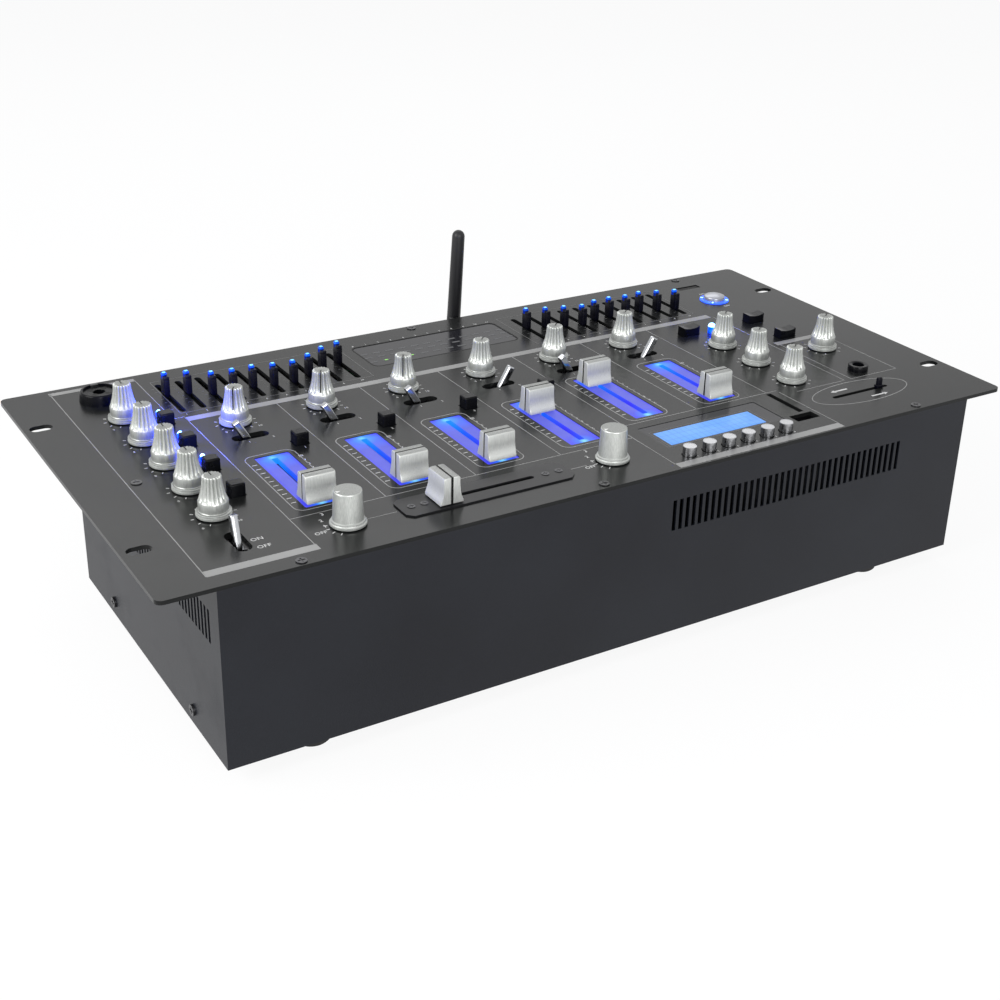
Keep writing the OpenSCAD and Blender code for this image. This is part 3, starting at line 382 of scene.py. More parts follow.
def display_material():
    """Backlit display: pale sky blue with faint dark character cells."""
    material, tree, shader, coordinates = start_material("lcd_backlight")
    place = coordinates["Object"]
    texture = use_group(tree, SURFACE_GRAIN, place, {"Grain": 500.0, "Drift": 45.0})
    glow = blend_colours(tree, texture["Tone"], (0.09, 0.3, 0.8), (0.13, 0.38, 0.9))
    cells, joints = brick_mask(tree, place, 3.6, 5.2, 0.22)
    cells.offset = 0.0
    colour = blend_colours(tree, remap(tree, joints, 0.0, 1.0, 0.0, 0.45), glow, (0.03, 0.12, 0.45))
    light_up(tree, shader, colour, 1.0, (0.03, 0.06, 0.14, 1.0), 0.3, 0.15)
    return material


def board_material():
    """Solder mask with a hint of copper tracks below it."""
    material, tree, shader, coordinates = start_material("board_mask")
    _, tracks = brick_mask(tree, coordinates["Object"], 9, 2, 0.3)
    colour = blend_colours(tree, tracks, (0.008, 0.07, 0.03), (0.03, 0.16, 0.06))
    feed(tree, shader, {"Base Color": colour, "Roughness": 0.35})
    return material


PANEL = finish("panel_anthracite", (0.007, 0.0074, 0.0074), (0.0105, 0.0111, 0.0111), 0.24,
               specular=0.17, grain=1500.0, drift=7.0, bump=0.05, marks=(16.0, 0.3))
CASE = finish("case_powder", (0.0045, 0.0052, 0.0085), (0.0075, 0.0088, 0.013), 0.42,
              specular=0.27, grain=1100.0, drift=14.0, bump=0.3, marks=(22.0, 0.35))
RUBBER = finish("foot_rubber", (0.012, 0.012, 0.012), (0.02, 0.02, 0.02), 0.8, bump=0.3)
STEEL = finish("blackened_steel", (0.05, 0.05, 0.053), (0.095, 0.095, 0.1), 0.34, metallic=1.0, bump=0.05)
PLATED = finish("plated_steel", (0.42, 0.42, 0.43), (0.55, 0.55, 0.55), 0.35, metallic=1.0, bump=0.06)
WINDING = finish("winding_tape", (0.014, 0.014, 0.015), (0.024, 0.024, 0.026), 0.5, grain=300.0, bump=0.3)
BLACK = finish("moulded_black", (0.002, 0.002, 0.0025), (0.005, 0.005, 0.006), 0.26,
               specular=0.22, bump=0.1, marks=(120.0, 0.4))
KEYCAP = finish("keycap_black", (0.0015, 0.0016, 0.0025), (0.003, 0.0033, 0.0045), 0.24,
                specular=0.11, bump=0.05, marks=(150.0, 0.6))
POST = finish("post_black", (0.001, 0.001, 0.003), (0.003, 0.003, 0.007), 0.26,
              specular=0.12, bump=0.04, marks=(150.0, 0.5))
GLASS = finish("smoked_window", (0.006, 0.006, 0.009), (0.01, 0.01, 0.014), 0.14,
               specular=0.3, bump=0.01, marks=(20.0, 0.3))
PLATE = finish("plate_black", (0.005, 0.005, 0.006), (0.009, 0.009, 0.0105), 0.42,
               specular=0.28, bump=0.1, marks=(60.0, 0.3))
SILVER = brushed("satin_silver", (0.38, 0.395, 0.375), (0.56, 0.575, 0.55), 0.36, 0.6)
CAP_SILVER = brushed("satin_cap", (0.48, 0.49, 0.475), (0.62, 0.635, 0.61), 0.4, 0.4)
CHROME = finish("lever_chrome", (0.42, 0.43, 0.45), (0.52, 0.53, 0.55), 0.14,
                metallic=1.0, bump=0.02, marks=(120.0, 0.7))
KEY_CHROME = finish("key_chrome", (0.34, 0.345, 0.36), (0.45, 0.455, 0.47), 0.2,
                    metallic=1.0, bump=0.03, marks=(120.0, 0.7))
DOME = finish("brushed_dome", (0.3, 0.31, 0.34), (0.4, 0.41, 0.44), 0.3, metallic=0.85, bump=0.08)
WHIP = finish("whip_black", (0.006, 0.006, 0.007), (0.011, 0.011, 0.012), 0.45, specular=0.35, bump=0.15)
INK = finish("printed_ink", (0.5, 0.5, 0.49), (0.6, 0.6, 0.59), 0.5, bump=0.03, drift=60.0, marks=(60.0, 0.4))
LINE_INK = finish("line_ink", (0.2, 0.2, 0.195), (0.27, 0.27, 0.265), 0.5, bump=0.03, drift=60.0)
FAINT_INK = finish("faint_ink", (0.05, 0.05, 0.049), (0.07, 0.07, 0.069), 0.45, bump=0.03, drift=60.0)
STRIPE = finish("stripe_ink", (0.19, 0.19, 0.187), (0.245, 0.245, 0.24), 0.42, bump=0.04, drift=30.0)
GAP = finish("pointer_black", (0.003, 0.003, 0.003), (0.007, 0.007, 0.007), 0.6, specular=0.2)
RED = finish("socket_red", (0.42, 0.02, 0.02), (0.52, 0.035, 0.03), 0.35)
WHITE = finish("socket_white", (0.62, 0.62, 0.6), (0.72, 0.72, 0.7), 0.35)
BOARD = board_material()
WINDOW_GLOW = window_material()
SLOT_GLOW = slot_wall_material()
LCD_GLOW = display_material()
LED_BLUE = lit("led_blue", (0.0, 0.05, 0.8), (0.01, 0.14, 1.0), 1.15)
LED_DEEP = lit("led_deep", (0.0, 0.004, 0.09), (0.0, 0.012, 0.2), 1.0)
LED_TIP = lit("led_tip", (0.0, 0.025, 0.28), (0.0, 0.08, 0.5), 1.0)
LED_SPARK = lit("led_spark", (0.09, 0.42, 0.95), (0.2, 0.62, 1.0), 1.15, drift=300.0)
LED_CORE = lit("led_core", (0.25, 0.65, 1.0), (0.5, 0.85, 1.0), 2.8, drift=300.0)
RING_BLUE = lit("ring_blue", (0.03, 0.07, 0.8), (0.04, 0.17, 1.0), 1.2, drift=120.0, roughness=0.35)
METER_GREEN = lit("meter_green", (0.1, 0.3, 0.04), (0.22, 0.5, 0.1), 1.0, roughness=0.35)
METER_DARK = finish("meter_unlit", (0.03, 0.032, 0.036), (0.05, 0.052, 0.056), 0.5)


# ---------------- mesh tools
SHARP_ANGLE = math.radians(38.0)
SMALLEST_CORNER = 0.12


def skin(rings, capped=True):
    """Quads through rings of equal point counts; flat caps at the ends, or last ring joined to first."""
    bm = bmesh.new()
    rows = [[bm.verts.new(p) for p in ring] for ring in rings]
    pairs = list(zip(rows, rows[1:]))
    if not capped:
        pairs.append((rows[-1], rows[0]))
    for low, high in pairs:
        for i in range(len(low)):
            j = (i + 1) % len(low)
            bm.faces.new((low[i], low[j], high[j], high[i]))
    if capped:
        bm.faces.new(list(reversed(rows[0])))
        bm.faces.new(rows[-1])
    return bm


def circle(r, z, segments):
    step = 2 * math.pi / segments
    return [(r * math.cos(i * step), r * math.sin(i * step), z) for i in range(segments)]


def lathe(profile, segments=48, capped=True):
    """A solid turned round the z axis from (radius, height) points, flat at both ends."""
    return skin([circle(r, z, segments) for r, z in profile], capped)


def lathe_ring(profile, segments=48):
    """A ring turned round the z axis: the points are the closed outline of its section."""
    return lathe(profile, segments, capped=False)


def rounded_outline(w, l, r, corner=4):
    """Rounded rectangle, anticlockwise, as (x, y) points."""
    points = []
    for cx, cy, start in ((1, 1, 0), (-1, 1, 90), (-1, -1, 180), (1, -1, 270)):
        for k in range(corner + 1):
            angle = math.radians(start + 90 * k / corner)
            points.append((cx * (w / 2 - r) + r * math.cos(angle), cy * (l / 2 - r) + r * math.sin(angle)))
    return points


def loft(w, l, r, levels, corner=4):
    """A rounded block: each level is (inset, z), and the corners shrink with the inset."""
    rings = []
    for inset, z in levels:
        outline = rounded_outline(w - 2 * inset, l - 2 * inset, max(r - inset, SMALLEST_CORNER), corner)
        rings.append([(x, y, z) for x, y in outline])
    return skin(rings)


def slab(outline, width, bevel, segments):
    """A (y, z) outline pushed out along x, the rims of its two ends rounded."""
    bm = skin([[(x, y, z) for y, z in outline] for x in (-width / 2, width / 2)])
    rims = [e for e in bm.edges if e.verts[0].co.x == e.verts[1].co.x]
    bmesh.ops.bevel(bm, geom=rims, offset=bevel, segments=segments, profile=0.6, affect="EDGES",
                    clamp_overlap=True)
    return bm


def block(low, high, bevel=0.0):
    bm = bmesh.new()
    bmesh.ops.create_cube(bm, size=1.0)
    middle = [(a + b) / 2 for a, b in zip(low, high)]
    size = [b - a for a, b in zip(low, high)]
    move(bm, Matrix.Translation(middle) @ Matrix.Diagonal((*size, 1.0)))
    if bevel:
        bmesh.ops.bevel(bm, geom=bm.edges[:], offset=bevel, segments=2, profile=0.6, affect="EDGES")
    return bm


def paint(bm, index):
    for face in bm.faces:
        face.material_index = index
    return bm


def move(bm, matrix):
    bmesh.ops.transform(bm, matrix=matrix, verts=bm.verts)
    return bm


def join(*parts):
    """One bmesh from several; the parts are used up."""
    whole = bmesh.new()
    for part in parts:
        mesh = bpy.data.meshes.new("part")
        part.to_mesh(mesh)
        whole.from_mesh(mesh)
        bpy.data.meshes.remove(mesh)
        part.free()
    return whole


def new_object(name, data, materials=()):
    item = bpy.data.objects.new(name, data)
    bpy.context.scene.collection.objects.link(item)
    for material in materials:
        data.materials.append(material)
    return item


def as_mesh(name, bm):
    """The bmesh as a mesh in metres, its faces outwards; the bmesh is used up."""
    bmesh.ops.recalc_face_normals(bm, faces=bm.faces)
    bmesh.ops.scale(bm, vec=(MM, MM, MM), verts=bm.verts)
    mesh = bpy.data.meshes.new(name)
    bm.to_mesh(mesh)
    bm.free()
    mesh.shade_smooth()
    mesh.set_sharp_from_angle(angle=SHARP_ANGLE)
    return mesh


def hand_over(piece, body, slot, *nodes):
    """Puts a piece on its body and hides the nodes that it stands for; its slot is not used."""
    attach(piece, body)
    if nodes:
        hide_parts(*nodes)
    return piece


def make(name, bm, materials, body, slot, *nodes):
    return hand_over(new_object(name, as_mesh(name, bm), materials), body, slot, *nodes)


# ---------------- geometry node trees
MARK_SOCKETS = {"Length": "Float", "Width": "Float", "Height": "Float", "Material": "Material"}


def geometry_group(name, inputs):
    return new_group(name, "Geometry", {"Geometry": "Geometry", **inputs}, {"Geometry": "Geometry"})


def scatter(tree, points, instance, values=None):
    values = {"Points": points, "Instance": instance, **(values or {})}
    return add(tree, "GeometryNodeInstanceOnPoints", values).outputs["Instances"]


def close_tree(tree, geometry, material, sink):
    real = add(tree, "GeometryNodeRealizeInstances", {"Geometry": geometry})
    painted = add(tree, "GeometryNodeSetMaterial", {
        "Geometry": real.outputs["Geometry"], "Material": material})
    feed(tree, sink, {"Geometry": painted.outputs["Geometry"]})


def mark_block(tree, wants):
    """The block that a mark tree repeats, its three sizes read from the tree's inputs."""
    size = combine(tree, {"X": wants["Length"], "Y": wants["Width"], "Z": wants["Height"]})
    return add(tree, "GeometryNodeMeshCube", {"Size": size}).outputs["Mesh"]


def build_fan_tree():
    """Marks in a fan round every point of the mesh: the scale of a turning knob."""
    tree, sockets, source, sink = geometry_group("dial_marks", {
        "Count": "Int", "Radius": "Float", "Start": "Float", "Sweep": "Float", **MARK_SOCKETS})
    wants = source.outputs
    line = add(tree, "GeometryNodeMeshLine", {"Count": wants["Count"], "Offset": (0.0, 0.0, 0.0)})
    index = tree.nodes.new("GeometryNodeInputIndex").outputs["Index"]
    share = maths(tree, "DIVIDE", index, maths(tree, "SUBTRACT", wants["Count"], 1.0))
    angle = maths(tree, "ADD", wants["Start"], times(tree, wants["Sweep"], share))
    mark_at = combine(tree, {
        "X": times(tree, maths(tree, "COSINE", angle), wants["Radius"]),
        "Y": times(tree, maths(tree, "SINE", angle), wants["Radius"])})
    spread = add(tree, "GeometryNodeSetPosition", {"Geometry": line.outputs["Mesh"], "Position": mark_at})
    heading = combine(tree, {"Z": angle})
    fan = scatter(tree, spread.outputs["Geometry"], mark_block(tree, wants), {"Rotation": heading})
    close_tree(tree, scatter(tree, wants["Geometry"], fan), wants["Material"], sink)
    return tree, sockets


def build_grid_tree():
    """Marks in rows and columns from every point of the mesh: scales, lamps and segments."""
    tree, sockets, source, sink = geometry_group("grid_marks", {
        "Columns": "Int", "Rows": "Int", "Column Pitch": "Float", "Row Pitch": "Float", **MARK_SOCKETS})
    wants = source.outputs
    marks = mark_block(tree, wants)
    for count, pitch, axis in (("Columns", "Column Pitch", "X"), ("Rows", "Row Pitch", "Y")):
        step = combine(tree, {axis: wants[pitch]})
        line = add(tree, "GeometryNodeMeshLine", {"Count": wants[count], "Offset": step})
        marks = scatter(tree, line.outputs["Mesh"], marks)
    close_tree(tree, scatter(tree, wants["Geometry"], marks), wants["Material"], sink)
    return tree, sockets


def build_flute_tree():
    """Cuts evenly spaced flutes into a turned body between two heights."""
    tree, sockets, source, sink = geometry_group("knob_flutes", {
        "Flutes": "Int", "Depth": "Float", "From": "Float", "To": "Float", "Material": "Material"})
    wants = source.outputs
    where = tree.nodes.new("GeometryNodeInputPosition")
    x, y, z = separate(tree, where.outputs["Position"])[:3]
    wave = maths(tree, "COSINE", times(tree, maths(tree, "ARCTAN2", y, x), wants["Flutes"]))
    rib = maths(tree, "SQRT", maths(tree, "ADD", 0.5, times(tree, wave, 0.4999)))
    valley = maths(tree, "SUBTRACT", 1.0, rib)
    fade = add(tree, "ShaderNodeMapRange", {"Value": z, "From Min": wants["From"], "From Max": wants["To"]})
    faded = times(tree, valley, fade.outputs["Result"])
    cut = times(tree, faded, wants["Depth"])
    squares = maths(tree, "ADD", times(tree, x, x), times(tree, y, y))
    radius = maths(tree, "MAXIMUM", maths(tree, "SQRT", squares), 1e-6)
    inward = times(tree, maths(tree, "DIVIDE", cut, radius), -1.0)
    shift = combine(tree, {"X": times(tree, x, inward), "Y": times(tree, y, inward)})
    carve = add(tree, "GeometryNodeSetPosition", {"Geometry": wants["Geometry"], "Offset": shift})
    close_tree(tree, carve.outputs["Geometry"], wants["Material"], sink)
    return tree, sockets


FAN_TREE = build_fan_tree()
GRID_TREE = build_grid_tree()
FLUTE_TREE = build_flute_tree()


def run_tree(name, mesh, tree_and_sockets, values):
    """Runs a tree on a mesh and gives the plain mesh that comes out."""
    tree, sockets = tree_and_sockets
    worker = new_object(name + "_points", mesh)
    modifier = worker.modifiers.new("tree", "NODES")
    modifier.node_group = tree
    for label, value in values.items():
        modifier[sockets[label].identifier] = value
    bpy.context.view_layer.update()
    baked = bpy.data.meshes.new_from_object(worker.evaluated_get(bpy.context.evaluated_depsgraph_get()))
    baked.name = name
    bpy.data.objects.remove(worker)
    return baked


def mark_piece(name, places, z, slot, material, size, tree_and_sockets, values):
    """A piece of printed or lit marks that a tree sets out from places on the panel."""
    points = bpy.data.meshes.new("places")
    points.from_pydata([(x * MM, (y + PANEL_FRONT) * MM, z * MM) for x, y in places], [], [])
    length, width, height = (v * MM for v in size)
    mesh = run_tree(name, points, tree_and_sockets, {
        "Length": length, "Width": width, "Height": height, "Material": material, **values})
    return hand_over(new_object(name, mesh), "chassis", slot)


def grid_piece(name, places, z, material, slot, columns, rows, pitches, size):
    return mark_piece(name, places, z, slot, material, size, GRID_TREE, {
        "Columns": columns, "Rows": rows, "Column Pitch": pitches[0] * MM, "Row Pitch": pitches[1] * MM})


def dial_piece(name, places, count, radius, start, sweep, length):
    return mark_piece(name, places, PRINT_T / 2, "panel_paint", INK, (length, 0.45, PRINT_T), FAN_TREE, {
        "Count": count, "Radius": radius * MM, "Start": math.radians(start), "Sweep": math.radians(sweep)})


# ---------------- CAD nodes that stay
def coat_nodes():
    """Gives the CAD nodes that no piece stands for their finishes."""
    coats = {
        PANEL: ("top_panel",),
        CASE: ("case_shell", "base_plate", "rear_panel"),
        RUBBER: ("feet",),
        STEEL: ("screws",),
        BOARD: ("main_board", "control_board"),
        WINDING: ("power_transformer",),
        PLATED: ("rotary_pots", "slide_pots"),
        BLACK: ("switch_bodies", "player_module", "rear_sockets", "antenna_base"),
        GLASS: ("display_windows",),
        PLATE: ("crossfader_plate",),
    }
    for material, nodes in coats.items():
        for node in nodes:
            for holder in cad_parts[node].material_slots:
                holder.material = material


# ---------------- knobs
def knob_profile():
    """Double flange, smooth band, then a waist that narrows upwards."""
    flanges = [(2.0, KNOB_LIFT), (7.9, KNOB_LIFT), (8.2, 0.7), (8.2, 1.5), (7.75, 1.8), (7.7, 2.0),
               (8.1, 2.25), (8.1, 2.65), (7.7, 2.95), (6.95, 3.05)]
    band = [(6.8, 3.25), (6.9, 3.5), (6.9, 7.5), (6.78, 7.8)]
    waist_height = KNOB_TOP - 0.6 - KNOB_BAND_TOP
    waist = [(4.5 + 2.2 * (1 - i / 8) ** 1.9, KNOB_BAND_TOP + waist_height * i / 8) for i in range(9)]
    crown = [(4.35, KNOB_TOP - 0.2), (4.05, KNOB_TOP), (3.2, KNOB_TOP - 0.1), (0.4, KNOB_TOP - 0.25)]
    return flanges + band + waist + crown


def pointer_strip():
    """Dark line up the side of the knob and over its top, on the rib that faces -y."""
    path = [(r, z) for r, z in knob_profile() if z > KNOB_BAND_TOP]
    under = [(r - 0.5, z - 0.5) for r, z in path[:-1]] + [(0.2, KNOB_TOP - 0.8)]
    half = 0.32
    rings = []
    for (r, z), (r_under, z_under) in zip(path, under):
        left, right = ((x, -r - 0.06, z + 0.05) for x in (-half, half))
        rings.append([left, right, (half, -r_under, z_under), (-half, -r_under, z_under)])
    return skin(rings)


def shaft():
    top = KNOB_LIFT + 0.2
    return lathe([(SHAFT_R - 0.4, SHAFT_Z), (SHAFT_R, SHAFT_Z + 0.4), (SHAFT_R, top)], 32)


def build_ribbed_knob():
    """The ribbed knob at the origin, with its pointer towards -y."""
    body = as_mesh("ribbed_knob", lathe(knob_profile(), KNOB_SEGMENTS))
    turned = run_tree("ribbed_knob", body, FLUTE_TREE, {
        "Flutes": FLUTES, "Depth": FLUTE_DEPTH * MM, "From": (KNOB_BAND_TOP - 0.2) * MM,
        "To": (KNOB_BAND_TOP + 1.6) * MM, "Material": SILVER})
    turned.materials.clear()
    whole = bmesh.new()
    whole.from_mesh(turned)
    bmesh.ops.scale(whole, vec=(1 / MM, 1 / MM, 1 / MM), verts=whole.verts)
    return join(paint(whole, 0), paint(shaft(), 0), paint(pointer_strip(), 1))


def make_ribbed_knobs():
    pattern = build_ribbed_knob()
    for label, angles in POINTERS.items():
        for node, angle in zip(numbered(label, len(angles)), angles):
            cap = move(pattern.copy(), at(*centre(node)) @ turn(angle))
            make(node + "_cap", cap, [SILVER, GAP], node, "knob_silver", node)
    pattern.free()


def make_assign_knobs():
    profile = [(2.0, KNOB_LIFT), (8.2, KNOB_LIFT), (8.5, 0.7), (8.5, 1.45), (7.85, 1.75), (7.7, 1.95),
               (7.7, 2.7), (7.2, 3.05), (7.05, 3.7), (6.5, 16.4), (6.42, 16.8), (6.2, 17.0), (0.4, 17.0)]
    for node in ("assign_knob_a", "assign_knob_b"):
        pointer = skin([[(-5.6, -1.0, z), (-3.4, 0.0, z), (-5.6, 1.0, z)] for z in (16.9, 17.05)])
        whole = join(paint(lathe(profile, 72), 0), paint(shaft(), 0), paint(pointer, 1))
        make(node + "_cap", move(whole, at(*centre(node))), [SILVER, WHITE], node, "knob_silver", node)


# ---------------- faders
def half_cap_outline(side):
    """One half of the cap from the side: flared foot, straight flank, rounded top."""
    foot, tip = CAP_FOOT / 2, CAP_TIP / 2
    curve = [(tip + (foot - tip) * (1 - i / 5) ** 2.2, 1.6 + 6.4 * i / 5) for i in range(6)]
    crown = [(tip, CAP_TOP - 1.1), (tip - 0.35, CAP_TOP - 0.35), (tip - 1.1, CAP_TOP), (CAP_GAP, CAP_TOP)]
    points = [(CAP_GAP, 0.5), (foot, 0.5)] + curve + crown
    return points if side > 0 else [(-y, z) for y, z in reversed(points)]


def fader_cap(seat, stem):
    """A cap in two halves on a dark core, with its stem; it slides along y."""
    halves = [paint(slab(half_cap_outline(side), CAP_W, 0.45, 3), 0) for side in (-1, 1)]
    core = paint(block((-CAP_W / 2 + 0.3, -0.8, 0.7), (CAP_W / 2 - 0.3, 0.8, CAP_TOP - 0.15)), 1)
    blade = paint(block((-stem / 2, -2.5, STEM_Z - seat), (stem / 2, 2.5, 1.0), 0.2), 0)
    return move(join(*halves, core, blade), Matrix.Translation((0, 0, seat)))


def make_faders():
    caps = {node: move(fader_cap(0.0, 2.4), at(*centre(node))) for node in numbered("channel_fader", 6)}
    caps["crossfader"] = move(fader_cap(CROSSFADER_SEAT, 1.8), at(*centre("crossfader")) @ turn(90))
    for node, cap in caps.items():
        make(node + "_cap", cap, [CAP_SILVER, GAP], node, "knob_silver", node)


def window_ring(outline, hole, z_top, z_low):
    """A flat insert with a slot through it: (x, y) outlines of equal point counts."""
    section = ((hole, z_low), (hole, z_top), (outline, z_top), (outline, z_low))
    return skin([[(x, y, z) for x, y in points] for points, z in section], capped=False)


def map_window(mesh, x, y):
    """UV map of one window: u across it, v from its front end to its back end."""
    layer = mesh.uv_layers.new(name="window")
    for loop in mesh.loops:
        place = mesh.vertices[loop.vertex_index].co
        u = (place.x / MM - x) / WINDOW[0] + 0.5
        v = (place.y / MM - PANEL_FRONT - y) / WINDOW[1] + 0.5
        layer.data[loop.index].uv = (u, v)


def make_windows():
    for name, x, mid in zip(numbered("fader_window", 6), CHANNELS, FADER_MID):
        y = mid + WINDOW_SHIFT
        edge, slot = rounded_outline(*WINDOW, 0.9), rounded_outline(*WINDOW_SLOT, 0.5)
        top = window_ring(edge, slot, WINDOW_TOP, WINDOW_LOW)
        for face in top.faces:
            middle = face.calc_center_median()
            in_slot = all(abs(middle[axis]) < WINDOW_SLOT[axis] / 2 + 0.05 for axis in (0, 1))
            face.material_index = int(in_slot)
        mesh = as_mesh(name, move(top, at(x, y)))
        map_window(mesh, x, y)
        hand_over(new_object(name, mesh, [WINDOW_GLOW, SLOT_GLOW]), "chassis", "lit_guide", "light_guides")


# ---------------- switches, sliders and buttons
def lever(length):
    """Chromed rod of a lever with a rounded end, on its pivot; it stands along z."""
    levels = [(0.0, 0.0), (0.0, length - 0.9), (0.12, length - 0.4), (0.45, length)]
    pivot = lathe([(1.7, -4.0), (2.0, -3.7), (2.0, 3.7), (1.7, 4.0)], 24)
    return join(loft(4.0, 3.4, 0.8, levels, corner=6), move(pivot, turn(90, "X")))


def make_toggles():
    """Six input levers that lean left or right, and the talkover lever, which leans back."""
    for node, x, side in zip(numbered("input_toggle", 6), CHANNELS, TOGGLE_SIDE):
        bat = move(lever(TOGGLE_LENGTH), at(x, TOGGLE_Y, PIVOT_Z) @ turn(side * TOGGLE_LEAN, "Y"))
        make(node + "_lever", bat, [CHROME], node, "lever_chrome", node)
    bat = move(lever(TOGGLE_LENGTH + 0.4), at(*TALKOVER_AT, PIVOT_Z) @ turn(90) @ turn(TALKOVER_LEAN, "Y"))
    make("talkover_lever", bat, [CHROME], "talkover_toggle", "lever_chrome", "talkover_toggle")


def eq_post():
    """Black slider post whose back half ends in a lit tip, its blade reaching down into the slide."""
    body = (3.2, 5.6, 0.5, [(0.0, 0.5), (0.0, 8.6), (0.1, 8.8)])
    front_half = (3.1, 2.9, 0.5, [(0.0, 8.5), (0.0, 10.0), (0.3, 10.4)])
    neck = (2.9, 2.7, 0.6, [(0.0, 8.6), (0.0, 10.6)])
    tip = (2.8, 2.6, 0.6, [(0.0, 10.5), (0.0, 11.3), (0.3, 11.8), (0.8, 11.95)])
    spark = (2.0, 1.8, 0.7, [(0.0, 11.6), (0.1, 11.92), (0.3, 12.0)])
    forms = ((body, 0.0, 0), (front_half, -1.3, 0), (neck, 1.4, 3), (tip, 1.4, 1), (spark, 1.3, 2))
    parts = [paint(move(loft(*form), nudge(y)), index) for form, y, index in forms]
    return join(*parts, paint(block((-0.9, -2.0, STEM_Z), (0.9, 2.0, 1.0)), 0))


def make_eq_banks():
    """Ten posts a side, each at its own setting in front of or behind the middle of its travel."""
    settings = {"left": [6, 3, -4, -5.5, -5.5, -8, -9, -4, 2.5, 6],
                "right": [4, 0, -3, -6, -2.5, -2, -3.5, -2, -5.5, -9]}
    for side, steps in settings.items():
        posts = [move(eq_post(), at(x, EQ_Y + step)) for x, step in zip(EQ_COLUMNS[side], steps)]
        node = "eq_sliders_" + side
        make(node + "_posts", join(*posts), [POST, LED_TIP, LED_SPARK, LED_DEEP], node, "button_black", node)


def key_stem():
    return lathe([(KEY_STEM_R, KEY_STEM_Z), (KEY_STEM_R, BUTTON_BOTTOM + 0.2)], 20)


def small_key():
    """Rounded key with a slightly dished top, on its stem."""
    levels = [(0.0, BUTTON_BOTTOM), (0.0, 5.5), (0.15, 5.95), (0.55, 6.25), (1.1, 6.3), (1.9, 6.12)]
    return join(loft(7.3, 6.9, 0.7, levels), key_stem())


def saddle_key():
    """Wide key whose top is hollowed along its length."""
    w, height, sag = 11.4, 5.2, 0.95
    top = [(w / 2 - w * i / 12, height - sag * (1 - (1 - i / 6) ** 2)) for i in range(13)]
    outline = [(-w / 2, BUTTON_BOTTOM), (w / 2, BUTTON_BOTTOM)] + top
    return join(move(slab(outline, 6.4, 0.4, 2), turn(90)), key_stem())


def player_key():
    """Round key with a flat rim round a shallow well."""
    profile = [(3.5, BUTTON_BOTTOM), (3.5, 4.8), (3.3, 5.0), (3.0, 5.0), (2.9, 4.9), (0.3, 4.9)]
    return join(lathe(profile, 40), key_stem())


def make_keys():
    black, chrome = (KEYCAP, "button_black"), (KEY_CHROME, "button_chrome")
    kinds = (("cue", small_key, black, [(x, 115.5) for x in CUE_X]),
             ("mic", small_key, black, [(-175.8, 76.8 + 30.7 * i) for i in range(4)]),
             ("mode", saddle_key, black, [(140, 149.2), (189, 149.2), (189, 120)]),
             ("player", player_key, chrome, [(x, 11.4) for x in PLAYER_X]))
    for kind, build, (material, slot), places in kinds:
        caps = [move(build(), at(x, y)) for x, y in places]
        node = kind + "_buttons"
        make(kind + "_keys", join(*caps), [material], node, slot, node)


def on_diagonals(build, reach, index):
    """Four copies of a part round the z axis, at 45 degrees to x and y."""
    return [paint(move(build(), turn(45 + 90 * i) @ nudge(reach)), index) for i in range(4)]


def make_power_button():
    """Domed button in a lit ring that carries four small brighter tabs."""
    dome_r, dome_top = 16, 4.2
    angles = (0.385, 0.32, 0.24, 0.16, 0.08, 0.02)
    dome = [(6.5, -2.0), (6.5, 2.45), (6.35, 2.8)]
    dome += [(dome_r * math.sin(a), dome_top - dome_r * (1 - math.cos(a))) for a in angles]
    cap = join(lathe(dome, 64), lathe([(3.0, KEY_STEM_Z), (3.0, -1.5)], 24))
    make("power_key", move(cap, at(*POWER_AT)), [DOME], "power_button", "power_dome", "power_button")
    ring = lathe_ring([(6.65, -3.4), (9.1, -3.4), (9.1, 0.5), (8.8, 0.8), (7.0, 0.8), (6.65, 0.5)], 64)
    tabs = on_diagonals(lambda: loft(1.0, 1.9, 0.4, [(0.0, 0.7), (0.0, 0.82), (0.2, 0.88)]), 7.9, 1)
    whole = move(join(paint(ring, 0), *tabs), at(*POWER_AT))
    make("power_ring", whole, [RING_BLUE, LED_CORE], "chassis", "lit_guide", "light_guides")


def make_monitor_slider():
    node = "monitor_slider"
    foot = loft(4.6, 3.2, 0.6, [(0.0, 0.4), (0.0, 1.3), (0.3, 1.6)])
    post = loft(3.2, 2.4, 0.6, [(0.0, 1.4), (0.1, 5.0), (0.4, 5.6), (0.8, 5.8)])
    blade = block((-2.0, -0.9, STEM_Z), (2.0, 0.9, 0.8))
    make("monitor_post", move(join(foot, post, blade), at(*centre(node))), [POST], node, "button_black", node)


def dome_led(r, h):
    arc = [(r * math.cos(a), h - r + r * math.sin(a)) for a in (0.0, 0.35, 0.7, 1.05, 1.35, 1.5)]
    return lathe([(r, LED_FOOT)] + arc, 28)


def make_leds():
    """Three domed lamps with brighter cores, and a tall lamp whose upper end glows."""
    leds = [paint(move(dome_led(1.5, 3.0), at(x, y)), 0) for x, y in LED_PLACES]
    leds += [paint(move(dome_led(1.3, 3.0), at(x, y, 0.3)), 1) for x, y in LED_PLACES]
    lower = lathe([(2.1, LED_FOOT), (2.1, 3.9), (2.0, 4.0)], 28)
    upper = lathe([(2.0, 3.9), (2.1, 4.1), (1.95, 4.8), (1.5, 5.45), (0.8, 5.9), (0.1, 6.0)], 28)
    leds += [paint(move(part, at(*TALL_LED)), index) for index, part in enumerate((lower, upper))]
    make("panel_leds", join(*leds), [LED_BLUE, LED_CORE], "chassis", "blue_led", "indicator_leds")


